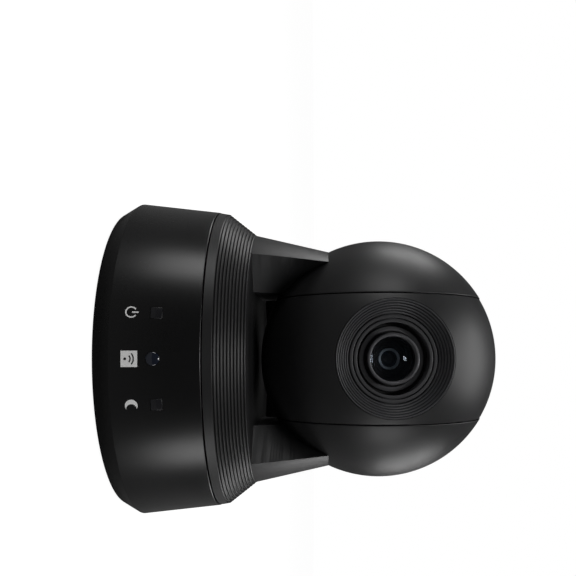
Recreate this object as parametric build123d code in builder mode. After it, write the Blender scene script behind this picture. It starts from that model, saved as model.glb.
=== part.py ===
"""Pan-tilt-zoom camera on a round base.

The lens looks along -Y, the pan axis is +Z and the origin is on the surface that the feet
stand on, at the centre of the base. Left is -X, as seen by somebody facing the lens.
Four groups turn or slide against each other: the base stands still, the yoke pans on it,
the head tilts between the yoke's two cheeks, and two lens groups slide inside the lens.
"""

import math
import os

from build123d import *

os.makedirs("parts", exist_ok=True)

# ---------------------------------------------------------------- driving dimensions, mm
# base
foot_stand = 1.0  # the feet hold the shell's edge this far off the surface
base_edge_r = 67.6
base_wide_r = 72.0
base_chamfer_h = 7.5
base_top_r = 68.25
base_h = 41.9
base_wall = 2.5
deck_drop = 5.0  # the deck lies this far below the shell's rim
deck_t = 2.5
plate_t = 2.0
plate_inset = 0.6  # the bottom plate sits this far up inside the shell
board_lift = 6.4  # board posts on the bottom plate
board_t = 1.6

# yoke
pan_gap = 0.5  # the dark joint between base and yoke
ring_bottom_r = 68.0
ring_band_r = 67.4
ring_band_h = 3.6
ring_top_r = 57.8
ring_h = 15.8
rib_count = 10
rib_depth = 0.7
ring_wall = 2.2
floor_t = 3.0
well_depth = 1.5
arm_wall = 2.0
arm_front_angle = 38.7  # where the arm's front edge starts on the floor, from the tilt axis
arm_meet_angle = 31.5  # where that edge reaches the cheek
arm_root_y = 25.5  # the arm's inner corner, in front of and behind the tilt axis, on the floor
arm_meet_y = 5.0  # the same corner at the height where the arm meets the cheek
arm_meet_drop = 23.15  # that height, below the tilt axis
parapet_h = 9.0

# head and cheeks
head_r = 55.3
floor_clearance = 1.15
split_x = 27.5  # the cheeks start this far from the middle
split_gap = 0.35
head_inset = 0.3  # the turning part's ball is smaller than the cheeks' by this much
cheek_wall = 2.2
head_wall = 2.2
side_wall = 2.0
tilt_rest = 5.0  # degrees, the lens looks up by this much at rest
seam_s = -6.0  # the head's front and rear shells meet here, along the lens axis
seam_gap = 0.2

# lens, radii and lengths along its axis; a drop is measured back from the bezel's front face
bezel_r = 24.9
bezel_fit = 0.25
bezel_rib_count = 5
bezel_rib_depth = 0.55
funnel_w = 5.7  # from the bezel's rim to the funnel's end
funnel_depth = 5.2
ridge_w = 1.3
ridge_gap = 0.6
ridge_groove = 1.3
housing_r = 17.0
housing_wall = 2.0
housing_drop = 12.0
housing_l = 40.0  # behind the bore of the barrel
bore_drop = 21.0
collar_r = 14.05
collar_bore_r = 11.8
collar_drop = 10.8
barrel_r = 11.0
barrel_wall = 1.5
barrel_drop = 5.0
bracket_drop = 14.5
glass_drop = 13.0
zoom_drop = 39.0
focus_drop = 52.0
rod_r = 0.75
rod_inset = 2.0  # from the housing's inner wall to the rods' axes

# drives
bearing_r = 20.0
bearing_bore_r = 12.0
bearing_w = 8.0
ball_r = 2.2
ball_count = 14
cable_bore_r = 8.0
gear_lift = 1.5
gear_face = 4.0
pan_module = 1.0
pan_gear_teeth = 60
pan_pinion_teeth = 15
tilt_module = 0.6
tilt_gear_teeth = 48
tilt_pinion_teeth = 12
tilt_gear_face = 3.0
gear_play = 0.16  # backlash along the pitch circle
pressure_angle = math.radians(20)
turntable_r = 44.0
turntable_t = 2.0
frame_t = 1.5
frame_half_y = 11.0
frame_top_r = 14.0
frame_gap = 2.5  # from the cheek's inner disc to the frame's upright
tilt_shaft_r = 4.0
tilt_bearing_r = 8.0
tilt_bearing_w = 4.0
motor_shaft_r = 1.0
run_clear = 0.05  # radial clearance of shafts that turn
seat_clear = 0.1  # clearance of pieces that only seat

# ---------------------------------------------------------------- levels and places
base_z = foot_stand
base_top_z = base_z + base_h
deck_top_z = base_top_z - deck_drop
deck_under_z = deck_top_z - deck_t
plate_z = base_z + plate_inset
plate_top_z = plate_z + plate_t
board_z = plate_top_z + board_lift
board_top_z = board_z + board_t
ring_z = base_top_z + pan_gap
floor_z = ring_z + ring_h
floor_under_z = floor_z - floor_t
head_z = floor_z + floor_clearance + head_r
gear_z = deck_top_z + gear_lift
turntable_z = gear_z + gear_face
turntable_top_z = turntable_z + turntable_t
frame_top_z = turntable_top_z + frame_t
arm_x = split_x + side_wall  # inner faces of the arms, in line with the cheeks' inner discs
frame_x = arm_x + frame_gap
turn_r = head_r - head_inset
head_half = split_x - split_gap
bezel_s = math.sqrt(turn_r**2 - bezel_r**2)
funnel_r = bezel_r - funnel_w
housing_front_s = bezel_s - housing_drop
bore_end_s = bezel_s - bore_drop
housing_back_s = bore_end_s - housing_l
collar_s = bezel_s - collar_drop
barrel_s = bezel_s - barrel_drop
bracket_s = bezel_s - bracket_drop
glass_s = bezel_s - glass_drop
rod_place = housing_r - housing_wall - rod_inset
head_centre = (0, 0, head_z)
rise = math.radians(tilt_rest)
lens_direction = Vector(0, -math.cos(rise), math.sin(rise))
optic = Plane(origin=head_centre, x_dir=(1, 0, 0), z_dir=lens_direction)


def base_radius(height):
    """Outer radius of the base shell at a height above its edge."""
    if height < base_chamfer_h:
        return base_edge_r + (base_wide_r - base_edge_r) * height / base_chamfer_h
    taper = (height - base_chamfer_h) / (base_h - base_chamfer_h)
    return base_wide_r + (base_top_r - base_wide_r) * taper


def base_wall_plane(height, azimuth):
    """Plane on the base's sloping wall, its z direction outwards; azimuth 0 is the front."""
    lean = math.atan((base_wide_r - base_top_r) / (base_h - base_chamfer_h))
    turn = math.radians(azimuth)
    radius = base_radius(height)
    outward = Vector(math.sin(turn), -math.cos(turn), 0)
    origin = outward * radius + Vector(0, 0, base_z + height)
    normal = outward * math.cos(lean) + Vector(0, 0, math.sin(lean))
    return Plane(origin=origin, x_dir=(math.cos(turn), math.sin(turn), 0), z_dir=normal)


def arm_radius(height):
    """Radius of the arms' outer cone, which runs from the ring's top to the cheeks."""
    meet_r = math.sqrt(head_r**2 - arm_meet_drop**2)
    meet_h = head_z - arm_meet_drop - floor_z
    return ring_top_r + (meet_r - ring_top_r) * height / meet_h


def arm_corners(height, inset):
    """Plan outline of one arm at a height above the floor; its outer side is left long."""
    share = height / (head_z - arm_meet_drop - floor_z)
    corner_y = arm_root_y + (arm_meet_y - arm_root_y) * share
    angle = math.radians(arm_front_angle + (arm_meet_angle - arm_front_angle) * share)
    edge = Vector(math.cos(angle), math.sin(angle)) * arm_radius(height)
    corner = Vector(arm_x, corner_y)
    side = (edge - corner).normalized()
    inward = Vector(side.Y, -side.X)
    start = corner + inward * inset
    start = start + side * ((arm_x + inset - start.X) / side.X)
    far = start + side * (2 * (edge - corner).length)
    return [(start.X, -start.Y), (far.X, -far.Y), (far.X, far.Y), (start.X, start.Y)]


def gear_outline(teeth, module, shift=0.0):
    """Corner points of a spur gear: involute flanks, flat roots and tips."""
    pitch_r = teeth * module / 2
    rolling_r = pitch_r * math.cos(pressure_angle)
    tip_r = pitch_r + module
    root_r = pitch_r - 1.25 * module
    start_r = max(rolling_r, root_r)
    at_pitch = math.pi / (2 * teeth) - gear_play / (4 * pitch_r)
    at_pitch += math.tan(pressure_angle) - pressure_angle
    flank = []
    for step in range(5):
        radius = start_r + (tip_r - start_r) * step / 4
        roll = math.acos(rolling_r / radius)
        flank.append((radius, at_pitch - (math.tan(roll) - roll)))
    if root_r < start_r:
        flank.insert(0, (root_r, flank[0][1]))
    points = []
    for tooth in range(teeth):
        middle = 2 * math.pi * (tooth + shift) / teeth
        for radius, half in flank:
            points.append((radius * math.cos(middle - half), radius * math.sin(middle - half)))
        for radius, half in reversed(flank):
            points.append((radius * math.cos(middle + half), radius * math.sin(middle + half)))
    return points


def finish(piece, name):
    """Labels one piece and writes it."""
    piece.part.label = name
    export_step(piece.part, f"parts/{name}.step")


# ================================================================ base, standing still
rear_half = 31.0  # the connector recess at the back
recess_low = 9.5
recess_high = 30.5
recess_frame = 2.0
panel_y = 57.0
panel_t = 1.8
post_r = 3.5
post_place = 41.0
pilot_r = 1.1
motor_x = -(pan_gear_teeth + pan_pinion_teeth) * pan_module / 2
motor_gap = 1.0  # between the motor and the cup of the pan bearing
motor_r = abs(motor_x) - bearing_r - base_wall - motor_gap
motor_h = 18.0
motor_ear_reach = 3.5  # from the motor's rim to its screws' axes
motor_ear = motor_r + motor_ear_reach
motor_boss_r = 4.0
window_h = 25.0
window_side = 4.5
window_angle = 14.6
ir_h = 24.0
ir_r = 2.65
motor_ears = [(motor_x, motor_ear), (motor_x, -motor_ear)]
bearing_z = deck_top_z - bearing_w

with BuildPart() as base_body:
    with BuildSketch(Plane.XZ):
        with BuildLine():
            Polyline(
                (0, base_z),
                (base_edge_r, base_z),
                (base_wide_r, base_z + base_chamfer_h),
                (base_top_r, base_top_z),
                (0, base_top_z),
                close=True,
            )
        make_face()
    revolve(axis=Axis.Z)

# frame of the connector recess, cut to the round wall
with BuildPart() as recess:
    with BuildSketch(Plane.XZ.offset(-panel_y)):
        with Locations((0, base_z + (recess_low + recess_high) / 2)):
            Rectangle(2 * (rear_half + recess_frame), recess_high - recess_low + 2 * recess_frame)
    extrude(amount=-base_wide_r)
    add(base_body.part, mode=Mode.INTERSECT)

with BuildPart() as base_shell:
    add(base_body.part)
    with BuildSketch(Plane.XZ):
        with BuildLine():
            Polyline(
                (0, base_z),
                (base_edge_r - base_wall, base_z),
                (base_wide_r - base_wall, base_z + base_chamfer_h),
                (base_radius(deck_under_z - base_z) - base_wall, deck_under_z),
                (0, deck_under_z),
                close=True,
            )
        make_face()
        with BuildLine():
            Polyline(
                (0, deck_top_z),
                (base_radius(deck_top_z - base_z) - base_wall, deck_top_z),
                (base_top_r - base_wall, base_top_z),
                (0, base_top_z),
                close=True,
            )
        make_face()
    revolve(axis=Axis.Z, mode=Mode.SUBTRACT)
    # cup under the deck for the pan bearing, with a lip below it
    with BuildSketch(Plane.XY.offset(bearing_z - deck_t)):
        Circle(bearing_r + base_wall)
    extrude(amount=bearing_w + deck_t)
    with BuildSketch(Plane.XY.offset(bearing_z)):
        Circle(bearing_r)
    extrude(amount=bearing_w, mode=Mode.SUBTRACT)
    with BuildSketch(Plane.XY.offset(bearing_z - deck_t)):
        Circle(bearing_r - 2 * run_clear - deck_t)
    extrude(amount=bearing_w, mode=Mode.SUBTRACT)
    # motor boss, and its two screw holes
    with BuildSketch(Plane.XY.offset(deck_under_z)):
        with Locations((motor_x, 0)):
            Circle(motor_boss_r + seat_clear)
        with Locations(*motor_ears):
            Circle(pilot_r)
    extrude(amount=deck_t, mode=Mode.SUBTRACT)
    # posts for the bottom screws
    with BuildSketch(Plane.XY.offset(plate_top_z)):
        with GridLocations(2 * post_place, 2 * post_place, 2, 2):
            Circle(post_r)
            Circle(pilot_r, mode=Mode.SUBTRACT)
    extrude(amount=deck_under_z - plate_top_z)
    add(recess.part)
    with BuildSketch(Plane.XZ.offset(-panel_y)):
        with Locations((0, base_z + (recess_low + recess_high) / 2)):
            Rectangle(2 * rear_half, recess_high - recess_low)
    extrude(amount=-base_wide_r, mode=Mode.SUBTRACT)
    # holes of the three front windows
    with BuildSketch(base_wall_plane(ir_h, 0)):
        Circle(ir_r + seat_clear)
    extrude(amount=-2 * base_wall, mode=Mode.SUBTRACT)
    for side in (-1, 1):
        with BuildSketch(base_wall_plane(window_h, side * window_angle)):
            Rectangle(window_side + 2 * seat_clear, window_side + 2 * seat_clear)
        extrude(amount=-2 * base_wall, mode=Mode.SUBTRACT)
finish(base_shell, "base_shell")

# ---------------------------------------------------------------- bottom plate, feet, tripod nut
tripod_r = 3.2
tripod_wall = 2.0
tripod_h = 7.4
tripod_flange = 1.2
foot_r = 6.0
foot_place = 48.0
foot_recess = 0.8
screw_r = 1.05
screw_head_r = 2.6
screw_head_h = 1.2
screw_l = 9.0
small_head_r = 2.0
small_screw_l = 4.8
board_post_x = 30.0
board_post_low_y = -25.0
board_post_high_y = 40.0
board_posts = []
for post_y in (board_post_low_y, board_post_high_y):
    board_posts += [(-board_post_x, post_y), (board_post_x, post_y)]
plate_r = base_edge_r - base_wall - 2 * seat_clear

with BuildPart() as bottom_plate:
    with BuildSketch(Plane.XY.offset(plate_z)):
        Circle(plate_r)
        Circle(tripod_r + tripod_wall + seat_clear, mode=Mode.SUBTRACT)
        with GridLocations(2 * post_place, 2 * post_place, 2, 2):
            Circle(screw_r + seat_clear, mode=Mode.SUBTRACT)
    extrude(amount=plate_t)
    with BuildSketch(Plane.XY.offset(plate_z)):
        with PolarLocations(foot_place, 4):
            Circle(foot_r + seat_clear)
        with GridLocations(2 * post_place, 2 * post_place, 2, 2):
            Circle(screw_head_r + seat_clear)
    extrude(amount=foot_recess, mode=Mode.SUBTRACT)
    with BuildSketch(Plane.XY.offset(plate_top_z)):
        with Locations(*board_posts):
            Circle(post_r)
            Circle(pilot_r, mode=Mode.SUBTRACT)
    extrude(amount=board_lift)
finish(bottom_plate, "bottom_plate")

with BuildPart() as rubber_feet:
    with BuildSketch():
        with PolarLocations(foot_place, 4):
            Circle(foot_r)
    extrude(amount=plate_z + foot_recess)
    chamfer(rubber_feet.faces().group_by(Axis.Z)[0].edges(), 0.5)
finish(rubber_feet, "rubber_feet")

with BuildPart() as bottom_screws:
    with BuildSketch(Plane.XY.offset(plate_z + foot_recess - screw_head_h)):
        with GridLocations(2 * post_place, 2 * post_place, 2, 2):
            Circle(screw_head_r)
    extrude(amount=screw_head_h)
    with BuildSketch(Plane.XY.offset(plate_z + foot_recess)):
        with GridLocations(2 * post_place, 2 * post_place, 2, 2):
            Circle(screw_r)
    extrude(amount=screw_l)
finish(bottom_screws, "bottom_screws")

with BuildPart() as tripod_nut:
    with BuildSketch(Plane.XY.offset(plate_z)):
        Circle(tripod_r + tripod_wall)
    extrude(amount=tripod_h)
    with BuildSketch(Plane.XY.offset(plate_top_z)):
        RegularPolygon(radius=tripod_r + 2.5 * tripod_wall, side_count=6)
    extrude(amount=tripod_flange)
    with BuildSketch(Plane.XY.offset(plate_z)):
        Circle(tripod_r)
    extrude(amount=tripod_h, mode=Mode.SUBTRACT)
finish(tripod_nut, "tripod_nut")

# ---------------------------------------------------------------- main board and rear sockets
board_half = 35.0
board_front_y = -34.0
board_back_gap = 1.0
socket_base_y = 44.0
board_back_y = panel_y - board_back_gap
socket_proud = 0.6
socket_front_y = panel_y + panel_t + socket_proud
jack_w = 9.0
jack_h = 11.0
jack_bore_r = 3.15
jack_pin_r = 1.0
jack_depth = 9.0
usb_w = 12.0
usb_h = 11.0
usb_open_w = 8.5
usb_open_h = 7.8
usb_tongue_w = 5.6
usb_tongue_h = 3.0
usb_depth = 10.0
serial_w = 14.0
serial_h = 13.0
serial_r = 4.8
serial_pin_r = 0.5
serial_pin_ring_r = 2.7
serial_recess = 1.2
jack_x = -22.5
usb_x = -8.5
serial_x = (8.0, 23.5)

with BuildPart() as main_board:
    with BuildSketch(Plane.XY.offset(board_z)):
        with Locations((0, (board_front_y + board_back_y) / 2)):
            Rectangle(2 * board_half, board_back_y - board_front_y)
        with Locations(*board_posts):
            Circle(screw_r + seat_clear, mode=Mode.SUBTRACT)
    extrude(amount=board_t)
finish(main_board, "main_board")

large_chip = 14.0
large_chip_place = (0, 10)
small_chip_w = 9.0
small_chip_l = 11.0
small_chip_places = [(18, -12), (18, 4)]
chip_t = 1.2
capacitor_r = 4.0
capacitor_h = 8.0
capacitor_places = [(20, 22), (20, 32)]

with BuildPart() as board_chips:
    with BuildSketch(Plane.XY.offset(board_top_z)):
        with Locations(large_chip_place):
            Rectangle(large_chip, large_chip)
        with Locations(*small_chip_places):
            Rectangle(small_chip_w, small_chip_l)
    extrude(amount=chip_t)
    with BuildSketch(Plane.XY.offset(board_top_z)):
        with Locations(*capacitor_places):
            Circle(capacitor_r)
    extrude(amount=capacitor_h)
finish(board_chips, "board_chips")

with BuildPart() as rear_panel:
    with BuildSketch(Plane.XZ.offset(-panel_y)):
        with Locations((0, base_z + (recess_low + recess_high) / 2)):
            Rectangle(2 * (rear_half - seat_clear), recess_high - recess_low - 2 * seat_clear)
        with Locations((jack_x, board_top_z + jack_h / 2)):
            Rectangle(jack_w + 2 * seat_clear, jack_h + 2 * seat_clear, mode=Mode.SUBTRACT)
        with Locations((usb_x, board_top_z + usb_h / 2)):
            Rectangle(usb_w + 2 * seat_clear, usb_h + 2 * seat_clear, mode=Mode.SUBTRACT)
        with Locations(*[(x, board_top_z + serial_h / 2) for x in serial_x]):
            Rectangle(serial_w + 2 * seat_clear, serial_h + 2 * seat_clear, mode=Mode.SUBTRACT)
    extrude(amount=-panel_t)
finish(rear_panel, "rear_panel")

with BuildPart() as power_jack:
    with BuildSketch(Plane.XZ.offset(-socket_front_y)):
        with Locations((jack_x, board_top_z + jack_h / 2)):
            Rectangle(jack_w, jack_h)
    extrude(amount=socket_front_y - socket_base_y)
    with BuildSketch(Plane.XZ.offset(-socket_front_y)):
        with Locations((jack_x, board_top_z + jack_h / 2)):
            Circle(jack_bore_r)
            Circle(jack_pin_r, mode=Mode.SUBTRACT)
    extrude(amount=jack_depth, mode=Mode.SUBTRACT)
finish(power_jack, "power_jack")

with BuildPart() as usb_socket:
    with BuildSketch(Plane.XZ.offset(-socket_front_y)):
        with Locations((usb_x, board_top_z + usb_h / 2)):
            Rectangle(usb_w, usb_h)
    extrude(amount=socket_front_y - socket_base_y)
    with BuildSketch(Plane.XZ.offset(-socket_front_y)):
        with Locations((usb_x, board_top_z + usb_h / 2)):
            Rectangle(usb_open_w, usb_open_h)
        with Locations((usb_x, board_top_z + usb_h / 2)):
            Rectangle(usb_tongue_w, usb_tongue_h, mode=Mode.SUBTRACT)
    extrude(amount=usb_depth, mode=Mode.SUBTRACT)
finish(usb_socket, "usb_socket")

for name, place in zip(("serial_in_socket", "serial_out_socket"), serial_x):
    with BuildPart() as serial_socket:
        with BuildSketch(Plane.XZ.offset(-socket_front_y)):
            with Locations((place, board_top_z + serial_h / 2)):
                Rectangle(serial_w, serial_h)
        extrude(amount=socket_front_y - socket_base_y)
        with BuildSketch(Plane.XZ.offset(-socket_front_y)):
            with Locations((place, board_top_z + serial_h / 2)):
                Circle(serial_r)
        extrude(amount=serial_recess, mode=Mode.SUBTRACT)
        with BuildSketch(Plane.XZ.offset(-socket_front_y)):
            with Locations((place, board_top_z + serial_h / 2)):
                with PolarLocations(serial_pin_ring_r, 8):
                    Circle(serial_pin_r)
        extrude(amount=usb_depth, mode=Mode.SUBTRACT)
    finish(serial_socket, name)

# ---------------------------------------------------------------- front windows and their board
front_board_y = -58.0
front_board_t = 1.6
front_board_half = 24.0
front_board_h = 12.0
window_proud = 0.2
receiver_w = 6.0
receiver_h = 7.0
receiver_t = 4.0
led_side = 3.0
led_t = 2.0
led_x = base_radius(window_h) * math.sin(math.radians(window_angle))

with BuildPart() as ir_window:
    with BuildSketch(base_wall_plane(ir_h, 0)):
        Circle(ir_r)
    extrude(amount=-base_wall)
    with BuildSketch(base_wall_plane(ir_h, 0)):
        Circle(ir_r)
    extrude(amount=ir_r / 3)
    fillet(ir_window.edges().filter_by(GeomType.CIRCLE).sort_by(Axis.Y)[0], ir_r / 3.5)
finish(ir_window, "ir_window")

for name, side in (("power_window", -1), ("standby_window", 1)):
    with BuildPart() as window:
        with BuildSketch(base_wall_plane(window_h, side * window_angle)):
            Rectangle(window_side, window_side)
        extrude(amount=window_proud)
        with BuildSketch(base_wall_plane(window_h, side * window_angle)):
            Rectangle(window_side, window_side)
        extrude(amount=-base_wall)
    finish(window, name)

with BuildPart() as front_board:
    with BuildSketch(Plane.XZ.offset(-front_board_y)):
        with Locations((0, base_z + window_h)):
            Rectangle(2 * front_board_half, front_board_h)
    extrude(amount=-front_board_t)
finish(front_board, "front_board")

with BuildPart() as ir_receiver:
    with BuildSketch(Plane.XZ.offset(-front_board_y)):
        with Locations((0, base_z + ir_h)):
            Rectangle(receiver_w, receiver_h)
    extrude(amount=receiver_t)
finish(ir_receiver, "ir_receiver")

with BuildPart() as status_leds:
    with BuildSketch(Plane.XZ.offset(-front_board_y)):
        with Locations((-led_x, base_z + window_h), (led_x, base_z + window_h)):
            Rectangle(led_side, led_side)
    extrude(amount=led_t)
finish(status_leds, "status_leds")

# ---------------------------------------------------------------- pan motor and pan bearing
motor_ear_r = 3.5
motor_ear_t = 1.0

with BuildPart() as pan_motor:
    with BuildSketch(Plane.XY.offset(deck_under_z - motor_h)):
        with Locations((motor_x, 0)):
            Circle(motor_r)
    extrude(amount=motor_h)
    with BuildSketch(Plane.XY.offset(deck_under_z - motor_ear_t)):
        with Locations((motor_x, 0)):
            Rectangle(2 * motor_ear_r, 2 * motor_ear)
        with Locations(*motor_ears):
            Circle(motor_ear_r)
            Circle(pilot_r, mode=Mode.SUBTRACT)
    extrude(amount=motor_ear_t)
    with BuildSketch(Plane.XY.offset(deck_under_z)):
        with Locations((motor_x, 0)):
            Circle(motor_boss_r)
    extrude(amount=deck_t)
    with BuildSketch(Plane.XY.offset(deck_top_z)):
        with Locations((motor_x, 0)):
            Circle(motor_shaft_r + run_clear)
    extrude(amount=-motor_h / 2, mode=Mode.SUBTRACT)
finish(pan_motor, "pan_motor")

with BuildPart() as board_and_motor_screws:
    for level, places in ((board_top_z, board_posts), (deck_top_z, motor_ears)):
        with BuildSketch(Plane.XY.offset(level)):
            with Locations(*places):
                Circle(small_head_r)
        extrude(amount=screw_head_h)
        with BuildSketch(Plane.XY.offset(level - small_screw_l)):
            with Locations(*places):
                Circle(screw_r)
        extrude(amount=small_screw_l)
finish(board_and_motor_screws, "board_and_motor_screws")

race_t = (bearing_r - bearing_bore_r) / 2 - 0.4 * ball_r
ball_ring_r = (bearing_r + bearing_bore_r) / 2
ball_z = bearing_z + bearing_w / 2

with BuildPart() as pan_bearing_outer_race:
    with BuildSketch(Plane.XY.offset(bearing_z)):
        Circle(bearing_r - run_clear)
        Circle(bearing_r - race_t, mode=Mode.SUBTRACT)
    extrude(amount=bearing_w)
    with Locations((0, 0, ball_z)):
        Torus(ball_ring_r, ball_r + run_clear, mode=Mode.SUBTRACT)
finish(pan_bearing_outer_race, "pan_bearing_outer_race")

with BuildPart() as pan_bearing_inner_race:
    with BuildSketch(Plane.XY.offset(bearing_z)):
        Circle(bearing_bore_r + race_t)
        Circle(bearing_bore_r + run_clear, mode=Mode.SUBTRACT)
    extrude(amount=bearing_w)
    with Locations((0, 0, ball_z)):
        Torus(ball_ring_r, ball_r + run_clear, mode=Mode.SUBTRACT)
finish(pan_bearing_inner_race, "pan_bearing_inner_race")

with BuildPart() as pan_bearing_balls:
    with Locations((0, 0, ball_z)):
        with PolarLocations(ball_ring_r, ball_count):
            Sphere(ball_r)
finish(pan_bearing_balls, "pan_bearing_balls")

# ================================================================ pan pinion, turned by its motor
# the pinion is on the gear's -X side: the gear has a tooth there, the pinion a gap
pan_gear_shift = pan_gear_teeth / 2 % 1
pan_pinion_shift = 0.5

with BuildPart() as pan_pinion:
    with BuildSketch(Plane.XY.offset(gear_z)):
        with Locations((motor_x, 0)):
            Polygon(*gear_outline(pan_pinion_teeth, pan_module, pan_pinion_shift), align=None)
            Circle(motor_shaft_r, mode=Mode.SUBTRACT)
    extrude(amount=gear_face - 4 * run_clear)
finish(pan_pinion, "pan_pinion")

with BuildPart() as pan_motor_shaft:
    with BuildSketch(Plane.XY.offset(gear_z + gear_face - 4 * run_clear)):
        with Locations((motor_x, 0)):
            Circle(motor_shaft_r)
    extrude(amount=-(gear_face + gear_lift + motor_h / 3))
finish(pan_motor_shaft, "pan_motor_shaft")

# ================================================================ yoke, which pans
gear_collar_inset = 0.5

with BuildPart() as pan_gear:
    with BuildSketch(Plane.XY.offset(gear_z)):
        Polygon(*gear_outline(pan_gear_teeth, pan_module, pan_gear_shift), align=None)
        Circle(bearing_bore_r + run_clear, mode=Mode.SUBTRACT)
    extrude(amount=gear_face)
    with BuildSketch(Plane.XY.offset(deck_top_z)):
        Circle(bearing_bore_r + race_t - gear_collar_inset)
        Circle(bearing_bore_r + run_clear, mode=Mode.SUBTRACT)
    extrude(amount=gear_lift)
finish(pan_gear, "pan_gear")

frame_screw_x = 18.0
frame_screw_y = 8.0
clip_t = 1.0
clip_w = 2.0
clip_mouth = 6.0
clip_r = bearing_bore_r + clip_w
hub_low_z = bearing_z - 2.0 * clip_t

with BuildPart() as pan_hub:
    with BuildSketch(Plane.XY.offset(turntable_z)):
        Circle(turntable_r)
        with GridLocations(2 * frame_screw_x, 2 * frame_screw_y, 2, 2):
            Circle(screw_r, mode=Mode.SUBTRACT)
    extrude(amount=turntable_t)
    with BuildSketch(Plane.XY.offset(hub_low_z)):
        Circle(bearing_bore_r)
    extrude(amount=turntable_z - hub_low_z)
    with BuildSketch(Plane.XY.offset(bearing_z - clip_t)):
        Circle(bearing_bore_r)
        Circle(bearing_bore_r - clip_t, mode=Mode.SUBTRACT)
    extrude(amount=clip_t, mode=Mode.SUBTRACT)
    with BuildSketch(Plane.XY.offset(hub_low_z)):
        Circle(cable_bore_r)
    extrude(amount=turntable_top_z - hub_low_z, mode=Mode.SUBTRACT)
finish(pan_hub, "pan_hub")

with BuildPart() as hub_clip:
    with BuildSketch(Plane.XY.offset(bearing_z - clip_t)):
        Circle(clip_r)
        Circle(bearing_bore_r - clip_t, mode=Mode.SUBTRACT)
        with Locations((0, -clip_r)):
            Rectangle(clip_mouth, 2 * clip_r - bearing_bore_r, mode=Mode.SUBTRACT)
    extrude(amount=clip_t)
finish(hub_clip, "hub_clip")

boss_x = 22.0
boss_y = 30.0
boss_r = 3.5
parapet_arc = 110.0
parapet_turn = math.radians(90 - parapet_arc / 2)
parapet_start = Vector(math.cos(parapet_turn), math.sin(parapet_turn), 0)
parapet_side = parapet_start.cross(Vector(0, 0, 1))
meet_h = head_z - arm_meet_drop - floor_z
arm_tuck = 4.0  # the arms run up under the cheeks by this much
arm_top_h = meet_h + arm_tuck
arm_foot_h = -floor_t / 2

# one arm as a solid wedge between the outer cone and its slanted inner walls, and its hollow
with BuildPart() as arm_cone:
    with BuildSketch(Plane.XZ):
        with BuildLine():
            Polyline(
                (0, floor_z + arm_foot_h),
                (arm_radius(0), floor_z + arm_foot_h),
                (arm_radius(0), floor_z),
                (arm_radius(arm_top_h), floor_z + arm_top_h),
                (0, floor_z + arm_top_h),
                close=True,
            )
        make_face()
    revolve(axis=Axis.Z)

with BuildPart() as arm_cone_inside:
    with BuildSketch(Plane.XZ):
        with BuildLine():
            Polyline(
                (0, floor_under_z - arm_wall),
                (arm_radius(0) - arm_wall, floor_under_z - arm_wall),
                (arm_radius(0) - arm_wall, floor_z),
                (arm_radius(arm_top_h) - arm_wall, floor_z + arm_top_h),
                (0, floor_z + arm_top_h),
                close=True,
            )
        make_face()
    revolve(axis=Axis.Z)

with BuildPart() as arm:
    for height in (arm_foot_h, arm_top_h):
        with BuildSketch(Plane.XY.offset(floor_z + height)):
            Polygon(*arm_corners(height, 0), align=None)
    loft(ruled=True)
    add(arm_cone.part, mode=Mode.INTERSECT)

with BuildPart() as arm_hollow:
    for height in (arm_foot_h - floor_t, arm_top_h):
        with BuildSketch(Plane.XY.offset(floor_z + height)):
            Polygon(*arm_corners(height, arm_wall), align=None)
    loft(ruled=True)
    add(arm_cone_inside.part, mode=Mode.INTERSECT)

rib_run = Vector(ring_top_r - ring_band_r, ring_h - ring_band_h)
rib_out = Vector(rib_run.Y, -rib_run.X).normalized()
rib_pitch = 1 / rib_count
ring_points = [Vector(ring_bottom_r, ring_z), Vector(ring_band_r, ring_z + ring_band_h)]
for rib in range(rib_count):
    for share, depth in ((0.0, 0), (0.15, rib_depth), (0.45, rib_depth), (0.6, 0)):
        on_cone = ring_points[1] + rib_run * (rib + share) * rib_pitch
        if rib or share:
            ring_points.append(on_cone - rib_out * depth)
ring_points.append(Vector(ring_top_r, floor_z))

with BuildPart() as yoke_housing:
    with BuildSketch(Plane.XZ):
        with BuildLine():
            Polyline((0, ring_z), *[(p.X, p.Y) for p in ring_points], (0, floor_z), close=True)
        make_face()
        with BuildLine():
            Polyline(
                (0, ring_z),
                (ring_bottom_r - ring_wall, ring_z),
                (ring_band_r - ring_wall - rib_depth, ring_z + ring_band_h),
                (ring_top_r - ring_wall, floor_under_z),
                (0, floor_under_z),
                close=True,
            )
        make_face(mode=Mode.SUBTRACT)
    revolve(axis=Axis.Z)
    # low parapet behind the head, between the arms
    with BuildSketch(Plane(origin=(0, 0, 0), x_dir=parapet_start, z_dir=parapet_side)):
        with BuildLine():
            Polyline(
                (arm_radius(0) - arm_wall, floor_z),
                (arm_radius(0), floor_z),
                (arm_radius(parapet_h), floor_z + parapet_h),
                (arm_radius(parapet_h) - arm_wall, floor_z + parapet_h),
                close=True,
            )
        make_face()
    revolve(axis=Axis.Z, revolution_arc=parapet_arc)
    add(arm.part)
    mirror(arm.part, about=Plane.YZ)
    # the well that the head turns over
    with BuildSketch(Plane.XY.offset(floor_z)):
        Rectangle(2 * arm_x, 2 * arm_root_y)
    extrude(amount=-well_depth, mode=Mode.SUBTRACT)
    add(arm_hollow.part, mode=Mode.SUBTRACT)
    mirror(arm_hollow.part, about=Plane.YZ, mode=Mode.SUBTRACT)
    with Locations(head_centre):
        Sphere(head_r + seat_clear, mode=Mode.SUBTRACT)
    with BuildSketch(Plane.XY.offset(turntable_top_z)):
        with GridLocations(2 * boss_x, 2 * boss_y, 2, 2):
            Circle(boss_r)
            Circle(pilot_r, mode=Mode.SUBTRACT)
    extrude(amount=floor_under_z - turntable_top_z)
finish(yoke_housing, "yoke_housing")

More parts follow.
